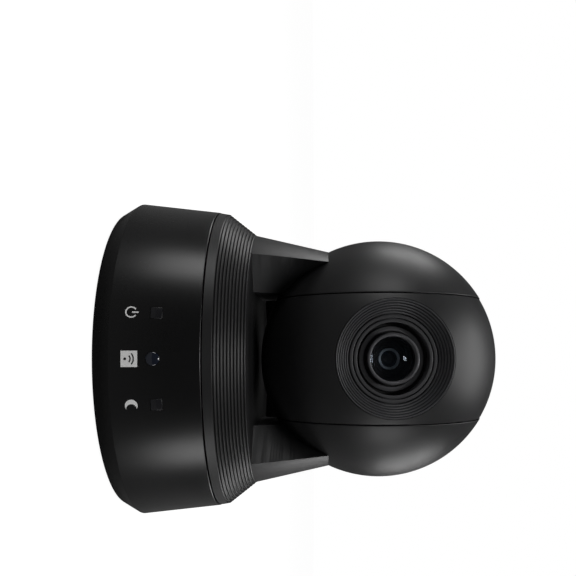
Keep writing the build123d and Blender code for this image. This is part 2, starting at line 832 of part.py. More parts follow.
# ---------------------------------------------------------------- inner frame and its screws
tilt_axis_d = (tilt_gear_teeth + tilt_pinion_teeth) * tilt_module / 2
bracket_half = 9.5
bracket_post_r = 1.5
bracket_post_y = 7.5
bracket_post_h = tilt_axis_d + 6.0
tab_lap = 4.0
tab_h = tilt_axis_d + bracket_half - frame_top_r + tab_lap
tab_z = head_z + tilt_axis_d + bracket_half - tab_h / 2

with BuildPart() as inner_frame:
    with BuildSketch(Plane.XY.offset(turntable_top_z)):
        Rectangle(2 * (frame_x + frame_t), 2 * frame_half_y)
        Circle(cable_bore_r, mode=Mode.SUBTRACT)
        with GridLocations(2 * frame_screw_x, 2 * frame_screw_y, 2, 2):
            Circle(screw_r + seat_clear, mode=Mode.SUBTRACT)
    extrude(amount=frame_t)
    for side in (-1, 1):
        with BuildSketch(Plane.YZ.offset(side * frame_x)):
            with Locations((0, (turntable_top_z + head_z) / 2)):
                Rectangle(2 * frame_half_y, head_z - turntable_top_z)
            with Locations((0, head_z)):
                Circle(frame_top_r)
                Circle(tilt_bearing_r, mode=Mode.SUBTRACT)
        extrude(amount=side * frame_t)
    # tab over the left upright, which carries the tilt motor's bracket
    with BuildSketch(Plane.YZ.offset(-frame_x)):
        with Locations((0, tab_z)):
            Rectangle(2 * bracket_half, tab_h)
    extrude(amount=-frame_t)
finish(inner_frame, "inner_frame")

# ---------------------------------------------------------------- cheeks, one each side of the head
post_skin = 0.8  # posts end this far under the outer surface
disc_r = math.sqrt((head_r - cheek_wall) ** 2 - (arm_x + cheek_wall) ** 2)
disc_hole_gap = 2.0
disc_hole_r = tilt_bearing_r + disc_hole_gap
disc_gap = 0.2
disc_t = side_wall - disc_gap
cheek_post_r = 3.0
cheek_post_place = disc_r - 2 * cheek_post_r
cheek_post_l = math.sqrt((head_r - post_skin) ** 2 - (cheek_post_place + cheek_post_r) ** 2) - arm_x
cheek_screw_l = 6.0
cheek_turns = (35.0, 145.0)
cheek_posts = []
for turn in cheek_turns:
    post_y = cheek_post_place * math.cos(math.radians(turn))
    cheek_posts.append((post_y, head_z + cheek_post_place * math.sin(math.radians(turn))))
spacer_r = 1.5
spacer_y = tilt_bearing_r + 2 * spacer_r
slot_gap_y = 1.0
slot_gap_x = 4.0
slot_half_y = frame_half_y + slot_gap_y
slot_far_x = frame_x + frame_t + slot_gap_x
cap_in_x = head_r - cheek_wall
cap_rim_r = math.sqrt(head_r**2 - split_x**2)
cap_in_r = math.sqrt(cap_in_x**2 - split_x**2)

for name, side in (("left", -1), ("right", 1)):
    with BuildPart() as cheek_cover:
        with BuildSketch(Plane(origin=head_centre, x_dir=(side, 0, 0), z_dir=(0, -side, 0))):
            with BuildLine():
                Line((cap_in_x, 0), (head_r, 0))
                RadiusArc((head_r, 0), (split_x, cap_rim_r), -head_r)
                Line((split_x, cap_rim_r), (split_x, cap_in_r))
                RadiusArc((split_x, cap_in_r), (cap_in_x, 0), cap_in_x)
            make_face()
        revolve(axis=Axis(head_centre, (1, 0, 0)))
        with BuildSketch(Plane.YZ.offset(side * arm_x)):
            with Locations(*cheek_posts):
                Circle(cheek_post_r)
        extrude(amount=side * cheek_post_l)
        with BuildSketch(Plane.YZ.offset(side * arm_x)):
            with Locations(*cheek_posts):
                Circle(screw_r)
        extrude(amount=side * cheek_screw_l, mode=Mode.SUBTRACT)
        # slot under the axis for the inner frame's upright, hidden inside the arm
        with Locations((side * (arm_x + slot_far_x) / 2, 0, head_z - head_r / 2)):
            Box(slot_far_x - arm_x, 2 * slot_half_y, head_r, mode=Mode.SUBTRACT)
    finish(cheek_cover, f"{name}_cheek_cover")

    with BuildPart() as cheek_disc:
        with BuildSketch(Plane.YZ.offset(side * (split_x + disc_gap))):
            with Locations((0, head_z)):
                Circle(disc_r)
                Circle(disc_hole_r, mode=Mode.SUBTRACT)
            with Locations(*cheek_posts):
                    Circle(screw_r + seat_clear, mode=Mode.SUBTRACT)
        extrude(amount=side * disc_t)
        with BuildSketch(Plane.YZ.offset(side * arm_x)):
            with Locations((spacer_y, head_z), (-spacer_y, head_z)):
                Circle(spacer_r)
        extrude(amount=side * frame_gap)
    finish(cheek_disc, f"{name}_cheek_disc")

with BuildPart() as yoke_screws:
    with BuildSketch(Plane.XY.offset(frame_top_z)):
        with GridLocations(2 * frame_screw_x, 2 * frame_screw_y, 2, 2):
            Circle(small_head_r)
    extrude(amount=screw_head_h)
    with BuildSketch(Plane.XY.offset(turntable_z)):
        with GridLocations(2 * frame_screw_x, 2 * frame_screw_y, 2, 2):
            Circle(screw_r)
    extrude(amount=frame_top_z - turntable_z)
    for side in (-1, 1):
        with BuildSketch(Plane.YZ.offset(side * (split_x + disc_gap))):
            with Locations(*cheek_posts):
                Circle(screw_r)
        extrude(amount=side * cheek_screw_l)
finish(yoke_screws, "yoke_screws")

# ---------------------------------------------------------------- tilt bearings, gear, motor
tilt_gear_gap = 1.0
bearing_flange = 1.0
bearing_flange_t = 0.8
tilt_motor_r = 7.5
tilt_motor_gap = 0.9  # at least this much between the motor's rim and the cheek cover
bracket_t = 1.0
bracket_gap = 0.6
bracket_hole_gap = 1.0
tilt_gear_x = frame_x + frame_t + tilt_gear_gap
bracket_x = tilt_gear_x + tilt_gear_face + bracket_gap
tilt_motor_reach = math.sqrt((cap_in_x - tilt_motor_gap) ** 2 - (tilt_axis_d + tilt_motor_r) ** 2)
tilt_motor_l = tilt_motor_reach - bracket_x - bracket_t
bracket_posts = [(-bracket_post_y, head_z + bracket_post_h), (bracket_post_y, head_z + bracket_post_h)]

for name, side in (("left_tilt_bearing", -1), ("right_tilt_bearing", 1)):
    with BuildPart() as tilt_bearing:
        with BuildSketch(Plane.YZ.offset(side * (frame_x + frame_t - tilt_bearing_w))):
            with Locations((0, head_z)):
                Circle(tilt_bearing_r - run_clear)
                Circle(tilt_shaft_r + run_clear, mode=Mode.SUBTRACT)
        extrude(amount=side * tilt_bearing_w)
        with BuildSketch(Plane.YZ.offset(side * (frame_x + frame_t))):
            with Locations((0, head_z)):
                Circle(tilt_bearing_r + bearing_flange)
                Circle(tilt_shaft_r + run_clear, mode=Mode.SUBTRACT)
        extrude(amount=side * bearing_flange_t)
    finish(tilt_bearing, name)

with BuildPart() as tilt_motor_bracket:
    with BuildSketch(Plane.YZ.offset(-bracket_x)):
        with Locations((0, head_z + tilt_axis_d)):
            Rectangle(2 * bracket_half, 2 * bracket_half)
            Circle(motor_shaft_r + bracket_hole_gap, mode=Mode.SUBTRACT)
    extrude(amount=-bracket_t)
    with BuildSketch(Plane.YZ.offset(-bracket_x)):
        with Locations(*bracket_posts):
            Circle(bracket_post_r)
    extrude(amount=bracket_x - frame_x - frame_t)
finish(tilt_motor_bracket, "tilt_motor_bracket")

with BuildPart() as tilt_motor:
    with BuildSketch(Plane.YZ.offset(-(bracket_x + bracket_t))):
        with Locations((0, head_z + tilt_axis_d)):
            Circle(tilt_motor_r)
    extrude(amount=-tilt_motor_l)
    with BuildSketch(Plane.YZ.offset(-(bracket_x + bracket_t))):
        with Locations((0, head_z + tilt_axis_d)):
            Circle(motor_shaft_r + run_clear)
    extrude(amount=-tilt_motor_l / 2, mode=Mode.SUBTRACT)
finish(tilt_motor, "tilt_motor")

# ================================================================ tilt pinion, turned by its motor
# the pinion is straight over the gear: the gear has a tooth there, the pinion a gap
tilt_gear_shift = tilt_gear_teeth / 4 % 1
tilt_pinion_shift = (tilt_pinion_teeth * 3 / 4 + 0.5) % 1

with BuildPart() as tilt_pinion:
    with BuildSketch(Plane.YZ.offset(-(tilt_gear_x + tilt_gear_face))):
        with Locations((0, head_z + tilt_axis_d)):
            Polygon(*gear_outline(tilt_pinion_teeth, tilt_module, tilt_pinion_shift), align=None)
            Circle(motor_shaft_r, mode=Mode.SUBTRACT)
    extrude(amount=tilt_gear_face)
finish(tilt_pinion, "tilt_pinion")

with BuildPart() as tilt_motor_shaft:
    with BuildSketch(Plane.YZ.offset(-tilt_gear_x)):
        with Locations((0, head_z + tilt_axis_d)):
            Circle(motor_shaft_r)
    extrude(amount=-(tilt_gear_face + bracket_gap + bracket_t + tilt_motor_l / 3))
finish(tilt_motor_shaft, "tilt_motor_shaft")

# ================================================================ head, which tilts
flange_r = 12.0
flange_t = 2.0
shaft_wall = 1.2
shaft_end = 2.0
front_post_l = 10.0
bracket_edge = 3.0
wall_in = head_half - side_wall
head_post_y = 27.0
head_post_r = 3.5
head_post_x = wall_in - 0.75 * head_post_r
head_post_reach = math.hypot(head_post_x, head_post_y) + head_post_r
head_post_l = math.sqrt((turn_r - post_skin) ** 2 - head_post_reach**2) + seam_s
head_screw_s = -32.0
head_screw_l = 30.0

with BuildPart() as tilt_gear:
    with BuildSketch(Plane.YZ.offset(-(tilt_gear_x + tilt_gear_face))):
        with Locations((0, head_z)):
            Polygon(*gear_outline(tilt_gear_teeth, tilt_module, tilt_gear_shift), align=None)
            Circle(tilt_shaft_r, mode=Mode.SUBTRACT)
    extrude(amount=tilt_gear_face)
finish(tilt_gear, "tilt_gear")

for name, side, reach in (
    ("left_tilt_shaft", -1, tilt_gear_x + tilt_gear_face),
    ("right_tilt_shaft", 1, frame_x + frame_t + shaft_end),
):
    with BuildPart() as tilt_shaft:
        with BuildSketch(Plane.YZ.offset(side * (wall_in - flange_t))):
            with Locations((0, head_z)):
                Circle(flange_r)
        extrude(amount=side * flange_t)
        with BuildSketch(Plane.YZ.offset(side * wall_in)):
            with Locations((0, head_z)):
                Circle(tilt_shaft_r)
        extrude(amount=side * (reach - wall_in))
        with BuildSketch(Plane.YZ.offset(side * (wall_in - flange_t))):
            with Locations((0, head_z)):
                Circle(tilt_shaft_r - shaft_wall)
        extrude(amount=side * (reach - wall_in + flange_t), mode=Mode.SUBTRACT)
    finish(tilt_shaft, name)

# the whole ball between the cheeks, before it is split into two shells
with BuildPart() as ball:
    with Locations(head_centre):
        Sphere(turn_r)
        Box(2 * head_half, 2 * turn_r, 2 * turn_r, mode=Mode.INTERSECT)

with BuildPart() as ball_inside:
    with Locations(head_centre):
        Sphere(turn_r - head_wall)
        Box(2 * wall_in, 2 * turn_r, 2 * turn_r, mode=Mode.INTERSECT)

with BuildPart() as head_front_shell:
    with BuildSketch(optic.offset(seam_s)):
        Rectangle(4 * turn_r, 4 * turn_r)
    extrude(amount=2 * turn_r)
    add(ball.part, mode=Mode.INTERSECT)
    add(ball_inside.part, mode=Mode.SUBTRACT)
    with BuildSketch(optic):
        Circle(bezel_r + bezel_fit)
    extrude(amount=turn_r, mode=Mode.SUBTRACT)
    with BuildSketch(Plane.YZ.offset(-head_half)):
        with Locations((0, head_z)):
            Circle(tilt_shaft_r + seat_clear)
    extrude(amount=2 * head_half, mode=Mode.SUBTRACT)
    with BuildSketch(optic.offset(seam_s)):
        with GridLocations(2 * head_post_x, 2 * head_post_y, 2, 2):
            Circle(head_post_r)
            Circle(screw_r, mode=Mode.SUBTRACT)
    extrude(amount=front_post_l)
finish(head_front_shell, "head_front_shell")

with BuildPart() as head_rear_shell:
    with BuildSketch(optic.offset(seam_s - seam_gap)):
        Rectangle(4 * turn_r, 4 * turn_r)
    extrude(amount=-2 * turn_r)
    add(ball.part, mode=Mode.INTERSECT)
    add(ball_inside.part, mode=Mode.SUBTRACT)
    with BuildSketch(optic.offset(seam_s - seam_gap)):
        with GridLocations(2 * head_post_x, 2 * head_post_y, 2, 2):
            Circle(head_post_r)
    extrude(amount=-head_post_l)
    with BuildSketch(optic.offset(seam_s - seam_gap)):
        with GridLocations(2 * head_post_x, 2 * head_post_y, 2, 2):
            Circle(screw_r + seat_clear)
    extrude(amount=-turn_r, mode=Mode.SUBTRACT)
    with BuildSketch(optic.offset(head_screw_s)):
        with GridLocations(2 * head_post_x, 2 * head_post_y, 2, 2):
            Circle(small_head_r + seat_clear)
    extrude(amount=-turn_r, mode=Mode.SUBTRACT)
finish(head_rear_shell, "head_rear_shell")

with BuildPart() as head_screws:
    with BuildSketch(optic.offset(head_screw_s)):
        with GridLocations(2 * head_post_x, 2 * head_post_y, 2, 2):
            Circle(small_head_r)
    extrude(amount=-screw_head_h)
    with BuildSketch(optic.offset(head_screw_s)):
        with GridLocations(2 * head_post_x, 2 * head_post_y, 2, 2):
            Circle(screw_r)
    extrude(amount=head_screw_l)
finish(head_screws, "head_screws")

# ---------------------------------------------------------------- bezel: a ribbed funnel round the lens
bezel_lip = 0.6
bezel_wall = 2.0
ridge_s = bezel_s - funnel_depth
bezel_back_s = bracket_s + frame_t
bezel_points = [(bezel_r, bezel_back_s), (bezel_r, bezel_s), (bezel_r - bezel_lip, bezel_s)]
rib_width = (bezel_r - bezel_lip - funnel_r) / bezel_rib_count
rib_fall = funnel_depth / bezel_rib_count
for rib in range(bezel_rib_count):
    for share, depth in ((0.0, bezel_rib_depth), (0.35, bezel_rib_depth), (0.45, 0.0), (1.0, 0.0)):
        bezel_points.append(
            (bezel_r - bezel_lip - rib_width * (rib + share), bezel_s - rib_fall * (rib + share) - depth)
        )
ridge_r = funnel_r
for ridge in range(2):
    bezel_points += [
        (ridge_r, ridge_s - ridge_groove),
        (ridge_r - ridge_gap, ridge_s - ridge_groove),
        (ridge_r - ridge_gap, ridge_s),
        (ridge_r - ridge_gap - ridge_w, ridge_s),
    ]
    ridge_r -= ridge_gap + ridge_w
bezel_points += [
    (ridge_r, ridge_s - ridge_groove - bezel_wall),
    (funnel_r, ridge_s - ridge_groove - bezel_wall),
    (bezel_r - bezel_wall, ridge_s),
    (bezel_r - bezel_wall, bezel_back_s),
]

with BuildPart() as lens_bezel:
    with BuildSketch(Plane(origin=head_centre, x_dir=(1, 0, 0), z_dir=optic.y_dir * -1)):
        with BuildLine():
            Polyline(*bezel_points, close=True)
        make_face()
    revolve(axis=Axis(head_centre, lens_direction))
finish(lens_bezel, "lens_bezel")

with BuildPart() as lens_bracket:
    with BuildSketch(optic.offset(bracket_s)):
        Rectangle(2 * wall_in, 2 * (bezel_r + bracket_edge))
        Circle(housing_r, mode=Mode.SUBTRACT)
    extrude(amount=frame_t)
finish(lens_bracket, "lens_bracket")

# ---------------------------------------------------------------- lens
rod_seat = 2.0

with BuildPart() as lens_housing:
    with BuildSketch(optic.offset(housing_back_s)):
        Circle(housing_r)
        Circle(housing_r - housing_wall, mode=Mode.SUBTRACT)
    extrude(amount=bore_end_s - housing_back_s)
    with BuildSketch(optic.offset(bore_end_s)):
        Circle(housing_r)
        Circle(barrel_r, mode=Mode.SUBTRACT)
    extrude(amount=housing_front_s - bore_end_s)
    with BuildSketch(optic.offset(bore_end_s)):
        with Locations((-rod_place, 0), (rod_place, 0)):
            Circle(rod_r)
    extrude(amount=rod_seat, mode=Mode.SUBTRACT)
finish(lens_housing, "lens_housing")

with BuildPart() as lens_collar:
    with BuildSketch(optic.offset(housing_front_s)):
        Circle(collar_r)
        Circle(collar_bore_r, mode=Mode.SUBTRACT)
    extrude(amount=collar_s - housing_front_s)
    chamfer(lens_collar.faces().filter_by(GeomType.PLANE).sort_by(Axis.Y)[0].edges(), 0.3)
finish(lens_collar, "lens_collar")

with BuildPart() as lens_barrel:
    with BuildSketch(optic.offset(bore_end_s)):
        Circle(barrel_r)
        Circle(barrel_r - barrel_wall, mode=Mode.SUBTRACT)
    extrude(amount=barrel_s - bore_end_s)
    chamfer(lens_barrel.faces().filter_by(GeomType.PLANE).sort_by(Axis.Y)[0].edges(), 0.35)
finish(lens_barrel, "lens_barrel")

glass_r = barrel_r - barrel_wall
glass_edge_t = 3.0
glass_bulge = 2.2
glass_bulge_r = 20.0

with BuildPart() as front_lens:
    with BuildSketch(optic.offset(glass_s)):
        Circle(glass_r)
    extrude(amount=glass_edge_t + 2 * glass_bulge)
    bulge_s = glass_s + glass_edge_t + glass_bulge - glass_bulge_r
    with Locations(Plane(origin=optic.origin + lens_direction * bulge_s, z_dir=lens_direction)):
        Sphere(glass_bulge_r, mode=Mode.INTERSECT)
finish(front_lens, "front_lens")

with BuildPart() as guide_rods:
    with BuildSketch(optic.offset(housing_back_s)):
        with Locations((-rod_place, 0), (rod_place, 0)):
            Circle(rod_r)
    extrude(amount=bore_end_s + rod_seat - housing_back_s)
finish(guide_rods, "guide_rods")

sensor_board_edge = 1.0
sensor_half = 5.0
sensor_t = 1.8

with BuildPart() as sensor_board:
    with BuildSketch(optic.offset(housing_back_s)):
        Rectangle(2 * (housing_r + sensor_board_edge), 2 * (housing_r + sensor_board_edge))
    extrude(amount=-board_t)
finish(sensor_board, "sensor_board")

with BuildPart() as image_sensor:
    with BuildSketch(optic.offset(housing_back_s)):
        Rectangle(2 * sensor_half, 2 * sensor_half)
    extrude(amount=sensor_t)
finish(image_sensor, "image_sensor")

# ================================================================ zoom and focus groups, which slide
carrier_t = 5.0
carrier_bore_r = 7.0
group_lens_inset = 0.5

for name, drop in (("zoom", zoom_drop), ("focus", focus_drop)):
    rest_s = bezel_s - drop
    with BuildPart() as carrier:
        with BuildSketch(optic.offset(rest_s)):
            Circle(housing_r - housing_wall - 2 * run_clear)
            Circle(carrier_bore_r, mode=Mode.SUBTRACT)
            with Locations((-rod_place, 0), (rod_place, 0)):
                Circle(rod_r + run_clear, mode=Mode.SUBTRACT)
        extrude(amount=carrier_t)
    finish(carrier, f"{name}_carrier")

    with BuildPart() as group_lens:
        with BuildSketch(optic.offset(rest_s + group_lens_inset)):
            Circle(carrier_bore_r)
        extrude(amount=carrier_t - 2 * group_lens_inset)
    finish(group_lens, f"{name}_lens")
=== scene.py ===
import math

import bpy
from mathutils import Matrix, Vector


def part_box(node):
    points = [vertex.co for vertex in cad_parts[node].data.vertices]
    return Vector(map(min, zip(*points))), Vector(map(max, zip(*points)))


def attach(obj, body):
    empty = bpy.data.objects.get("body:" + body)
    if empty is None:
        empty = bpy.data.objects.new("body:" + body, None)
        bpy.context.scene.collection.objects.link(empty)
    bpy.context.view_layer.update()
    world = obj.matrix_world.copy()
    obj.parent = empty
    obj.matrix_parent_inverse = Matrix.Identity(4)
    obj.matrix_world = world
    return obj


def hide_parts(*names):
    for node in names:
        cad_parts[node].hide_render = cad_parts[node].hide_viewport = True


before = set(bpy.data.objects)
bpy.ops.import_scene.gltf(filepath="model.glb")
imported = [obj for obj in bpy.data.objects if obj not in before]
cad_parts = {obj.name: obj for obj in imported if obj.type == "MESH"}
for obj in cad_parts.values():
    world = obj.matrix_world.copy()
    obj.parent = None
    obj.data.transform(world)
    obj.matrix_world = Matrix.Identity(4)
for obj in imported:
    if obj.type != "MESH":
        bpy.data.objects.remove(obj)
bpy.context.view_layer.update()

bl_info = {
    "name": "Pan-tilt-zoom camera",
    "version": (1, 0, 0),
    "blender": (4, 5, 0),
    "location": "3D View > Sidebar > PTZ camera",
    "description": "Builds the visible pieces, finishes and studio of a desk pan-tilt-zoom camera",
    "category": "Object",
}

MM = 0.001
ROUND_STEPS = 256
SMALL_STEPS = 64
HEAD_Z = (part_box("left_cheek_cover")[0].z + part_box("left_cheek_cover")[1].z) / 2
BASE_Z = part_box("base_shell")[0].z
BASE_TOP_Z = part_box("base_shell")[1].z
RING_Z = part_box("yoke_housing")[0].z


def linear(code):
    """Linear RGBA of an sRGB hex colour."""
    parts = [int(code[at:at + 2], 16) / 255 for at in (1, 3, 5)]
    return tuple(p / 12.92 if p <= 0.04045 else ((p + 0.055) / 1.055) ** 2.4 for p in parts) + (1.0,)


def length(label, text, default):
    """A length property, in metres."""
    return bpy.props.FloatProperty(name=label, description=text, default=default, unit="LENGTH", precision=5)


def colour(label, text, code):
    """A colour property."""
    return bpy.props.FloatVectorProperty(
        name=label, description=text, default=linear(code), size=4, min=0.0, max=1.0, subtype="COLOR"
    )


# ---------------------------------------------------------------- sizes and colours
class PtzSizes(bpy.types.PropertyGroup):
    """Sizes of the visible pieces."""

    base_edge_r: length("Base edge radius", "Radius at the lower edge of the base", 67.6 * MM)
    base_wide_r: length("Base widest radius", "Radius where the chamfer meets the wall", 72.0 * MM)
    base_top_r: length("Base rim radius", "Radius at the top of the base", 68.25 * MM)
    base_chamfer_h: length("Base chamfer height", "Height of the chamfer at the foot", 7.5 * MM)
    base_wall: length("Base wall", "Thickness of the base shell", 2.5 * MM)
    deck_drop: length("Deck drop", "Depth of the deck below the rim", 5.0 * MM)
    edge_round: length("Edge rounding", "Radius of the moulded edges", 0.5 * MM)
    ring_bottom_r: length("Ring lower radius", "Radius of the yoke ring at the pan joint", 68.0 * MM)
    ring_band_r: length("Ring band radius", "Radius at the top of the ring's plain band", 67.4 * MM)
    ring_band_h: length("Ring band height", "Height of the ring's plain band", 3.6 * MM)
    ring_top_r: length("Ring upper radius", "Radius of the ring at its floor", 57.8 * MM)
    ring_h: length("Ring height", "Height of the ring", 15.8 * MM)
    rib_depth: length("Rib depth", "Depth of the grooves between the ring's ribs", 0.7 * MM)
    rib_count: bpy.props.IntProperty(name="Ribs", description="Ribs round the yoke ring", default=10, min=1)
    ring_wall: length("Ring wall", "Thickness of the ring's wall", 2.2 * MM)
    floor_t: length("Floor thickness", "Thickness of the yoke's floor", 3.0 * MM)
    arm_x: length("Arm inner face", "Distance of the arms' inner faces from the middle", 29.5 * MM)
    arm_wall: length("Arm wall", "Thickness of the arms' walls", 2.0 * MM)
    arm_root_y: length("Arm root", "Half depth of the arms' inner face at the floor", 25.5 * MM)
    arm_meet_y: length("Arm top", "Half depth of the arms' inner face at the cheeks", 5.0 * MM)
    arm_meet_drop: length("Arm meeting drop", "Height of the tilt axis over the arms' tops", 23.15 * MM)
    arm_front_angle: bpy.props.FloatProperty(
        name="Arm angle at the floor", description="Direction of the arm's front edge at the floor",
        default=math.radians(38.7), unit="ROTATION")
    arm_meet_angle: bpy.props.FloatProperty(
        name="Arm angle at the cheek", description="Direction of the arm's front edge at the cheek",
        default=math.radians(31.5), unit="ROTATION")
    parapet_h: length("Parapet height", "Height of the low wall behind the head", 9.0 * MM)
    parapet_arc: bpy.props.FloatProperty(
        name="Parapet arc", description="Angle that the low wall covers",
        default=math.radians(110), unit="ROTATION")
    head_r: length("Head radius", "Outer radius of the cheeks", 55.3 * MM)
    head_inset: length("Head inset", "How far the turning ball lies inside the cheeks' ball", 0.3 * MM)
    split_x: length("Split", "Distance of the cheeks' rims from the middle", 27.5 * MM)
    split_gap: length("Split gap", "Gap between a cheek and the head", 0.35 * MM)
    head_wall: length("Head wall", "Thickness of the head's and cheeks' walls", 2.2 * MM)
    tilt_rest: bpy.props.FloatProperty(
        name="Rest tilt", description="How far the lens looks up at rest", default=math.radians(5), unit="ROTATION")
    seam_s: length("Seam place", "Place of the seam between the head's shells, along the lens axis", -6.0 * MM)
    seam_gap: length("Seam gap", "Gap between the head's shells", 0.2 * MM)
    bezel_r: length("Bezel radius", "Outer radius of the lens bezel", 24.9 * MM)
    bezel_fit: length("Bezel gap", "Gap round the bezel", 0.25 * MM)
    funnel_r: length("Funnel radius", "Radius where the bezel's funnel ends", 19.2 * MM)
    funnel_depth: length("Funnel depth", "Depth of the bezel's funnel", 5.2 * MM)
    collar_r: length("Collar radius", "Outer radius of the lens collar", 14.05 * MM)
    collar_bore_r: length("Collar bore", "Inner radius of the lens collar", 11.8 * MM)
    barrel_r: length("Barrel radius", "Outer radius of the lens barrel", 11.0 * MM)
    barrel_wall: length("Barrel wall", "Thickness of the lens barrel", 1.5 * MM)
    window_side: length("Window side", "Side of the square lamp windows", 4.5 * MM)
    window_h: length("Window height", "Height of the lamp windows over the base's edge", 25.0 * MM)
    window_angle: bpy.props.FloatProperty(
        name="Window angle", description="Angle of the lamp windows from the front",
        default=math.radians(14.6), unit="ROTATION")
    receiver_h: length("Receiver height", "Height of the receiver's dome over the base's edge", 24.0 * MM)
    receiver_r: length("Receiver radius", "Radius of the receiver's dome", 2.65 * MM)


class PtzColours(bpy.types.PropertyGroup):
    """Colours of the finishes."""

    base_abs: colour("Base plastic", "Gloss ABS of the base", "#080809")
    body_abs: colour("Body plastic", "Satin ABS of the yoke and head", "#1c1c1d")
    # the lens rings' mid grey is painted light: black anodising coloured lighter so that the rings read as lit
    anodised: colour("Lens rings", "Black anodised aluminium", "#7c7c7f")
    ink: colour("Print", "Silk-screen ink", "#fbfbfa")
    rubber: colour("Rubber", "Moulded feet", "#161616")
    smoked: colour("Smoked acrylic", "Lamp windows", "#17171b")
    coating: colour("Lens coating", "Tint of the coated glass", "#7fa8d0")
    floor: colour("Floor", "Studio floor", "#707070")


def sizes():
    """The scene's sizes."""
    return bpy.context.scene.ptz_sizes


def colours():
    """The scene's colours."""
    return bpy.context.scene.ptz_colours


def lens_place():
    """Matrix that puts a mesh's Z axis on the lens axis, with the tilt axis at zero."""
    turn = Matrix.Rotation(math.pi / 2 - sizes().tilt_rest, 4, "X")
    return Matrix.Translation((0, 0, HEAD_Z)) @ turn


def cheek_place(side):
    """Matrix that puts a mesh's Z axis on the tilt axis, outwards on that side."""
    return Matrix.Translation((0, 0, HEAD_Z)) @ Matrix.Rotation(side * math.pi / 2, 4, "Y")


def base_radius(height):
    """Outer radius of the base at a height over its edge."""
    s = sizes()
    share = (height - s.base_chamfer_h) / (BASE_TOP_Z - BASE_Z - s.base_chamfer_h)
    return s.base_wide_r + (s.base_top_r - s.base_wide_r) * share


def wall_place(height, azimuth):
    """Matrix that puts a mesh's XY plane on the base's wall with Z outwards; azimuth 0 is the front."""
    s = sizes()
    lean = math.atan((s.base_wide_r - s.base_top_r) / (BASE_TOP_Z - BASE_Z - s.base_chamfer_h))
    move = Matrix.Translation((0, -base_radius(height), BASE_Z + height))
    return Matrix.Rotation(azimuth, 4, "Z") @ move @ Matrix.Rotation(math.pi / 2 - lean, 4, "X")


# ---------------------------------------------------------------- modelling helpers
def clear_selection():
    """Leaves edit mode and deselects everything."""
    if bpy.context.object and bpy.context.object.mode != "OBJECT":
        bpy.ops.object.mode_set(mode="OBJECT")
    bpy.ops.object.select_all(action="DESELECT")


def choose(*pieces):
    """Selects these pieces and makes the first one active."""
    clear_selection()
    for piece in pieces:
        piece.select_set(True)
    bpy.context.view_layer.objects.active = pieces[0]


def put(piece, place):
    """Moves a piece and applies the move to its mesh."""
    choose(piece)
    piece.matrix_world = place
    bpy.ops.object.transform_apply(location=True, rotation=True, scale=True)


def soften(points, radius, arc_steps=4):
    """A closed outline with its sharp corners rounded."""
    rounded = []
    for at, corner in enumerate(points):
        here = Vector(corner)
        back = Vector(points[at - 1]) - here
        ahead = Vector(points[(at + 1) % len(points)]) - here
        on_axis = abs(here.x) < 1e-9
        turn = math.pi - back.angle(ahead) if back.length and ahead.length else 0.0
        if on_axis or turn < math.radians(20):
            rounded.append((here.x, here.y))
            continue
        reach = min(radius * math.tan(turn / 2), back.length * 0.45, ahead.length * 0.45)
        start = here + back.normalized() * reach
        end = here + ahead.normalized() * reach
        for step in range(arc_steps + 1):
            t = step / arc_steps
            spot = start * (1 - t) ** 2 + here * 2 * t * (1 - t) + end * t ** 2
            rounded.append((spot.x, spot.y))
    return rounded


def draw(points):
    """Starts a mesh as a chain of edges through these points, and stays in edit mode."""
    clear_selection()
    bpy.ops.mesh.primitive_plane_add(size=MM, location=(0, 0, 0))
    piece = bpy.context.object
    bpy.ops.object.mode_set(mode="EDIT")
    bpy.ops.mesh.select_mode(type="VERT")
    bpy.ops.mesh.select_all(action="SELECT")
    bpy.ops.mesh.merge(type="CENTER")
    bpy.ops.transform.translate(value=points[0])
    for last, here in zip(points, points[1:]):
        step = [b - a for a, b in zip(last, here)]
        bpy.ops.mesh.extrude_vertices_move(TRANSFORM_OT_translate={"value": step})
    return piece


def tidy(merge=1e-6):
    """Merges doubles and turns the faces outwards, in edit mode."""
    bpy.ops.mesh.select_all(action="SELECT")
    bpy.ops.mesh.remove_doubles(threshold=merge)
    bpy.ops.mesh.normals_make_consistent(inside=False)


def lathe(name, outline, steps=ROUND_STEPS, angle=2 * math.pi, start=0.0):
    """A closed solid of revolution: an outline of (radius, height) points spun about Z."""
    points = [(r * math.cos(start), r * math.sin(start), z) for r, z in outline]
    piece = draw(points + [points[0]])
    piece.name = name
    whole = angle > 2 * math.pi - 1e-6
    bpy.ops.mesh.select_all(action="SELECT")
    bpy.ops.mesh.remove_doubles(threshold=1e-6)
    if not whole:
        bpy.ops.mesh.edge_face_add()
    bpy.ops.mesh.spin(steps=steps, angle=angle, center=(0, 0, 0), axis=(0, 0, -1))
    tidy()
    bpy.ops.object.mode_set(mode="OBJECT")
    return piece


def prism(name, corners, low, high):
    """A solid with a flat outline of (x, y) corners, from one height to another."""
    points = [(x, y, low) for x, y in corners]
    piece = draw(points + [points[0]])
    piece.name = name
    bpy.ops.mesh.select_all(action="SELECT")
    bpy.ops.mesh.remove_doubles(threshold=1e-6)
    bpy.ops.mesh.edge_face_add()
    bpy.ops.mesh.extrude_region_move(TRANSFORM_OT_translate={"value": (0, 0, high - low)})
    tidy()
    bpy.ops.object.mode_set(mode="OBJECT")
    return piece


def block(name, low, high, rounding=0.0):
    """A box between two corners, with rounded edges."""
    clear_selection()
    middle = [(a + b) / 2 for a, b in zip(low, high)]
    side = [b - a for a, b in zip(low, high)]
    bpy.ops.mesh.primitive_cube_add(size=1, location=middle, scale=side)
    piece = bpy.context.object
    piece.name = name
    bpy.ops.object.transform_apply(location=True, rotation=True, scale=True)
    if rounding:
        bevel(piece, rounding)
    return piece


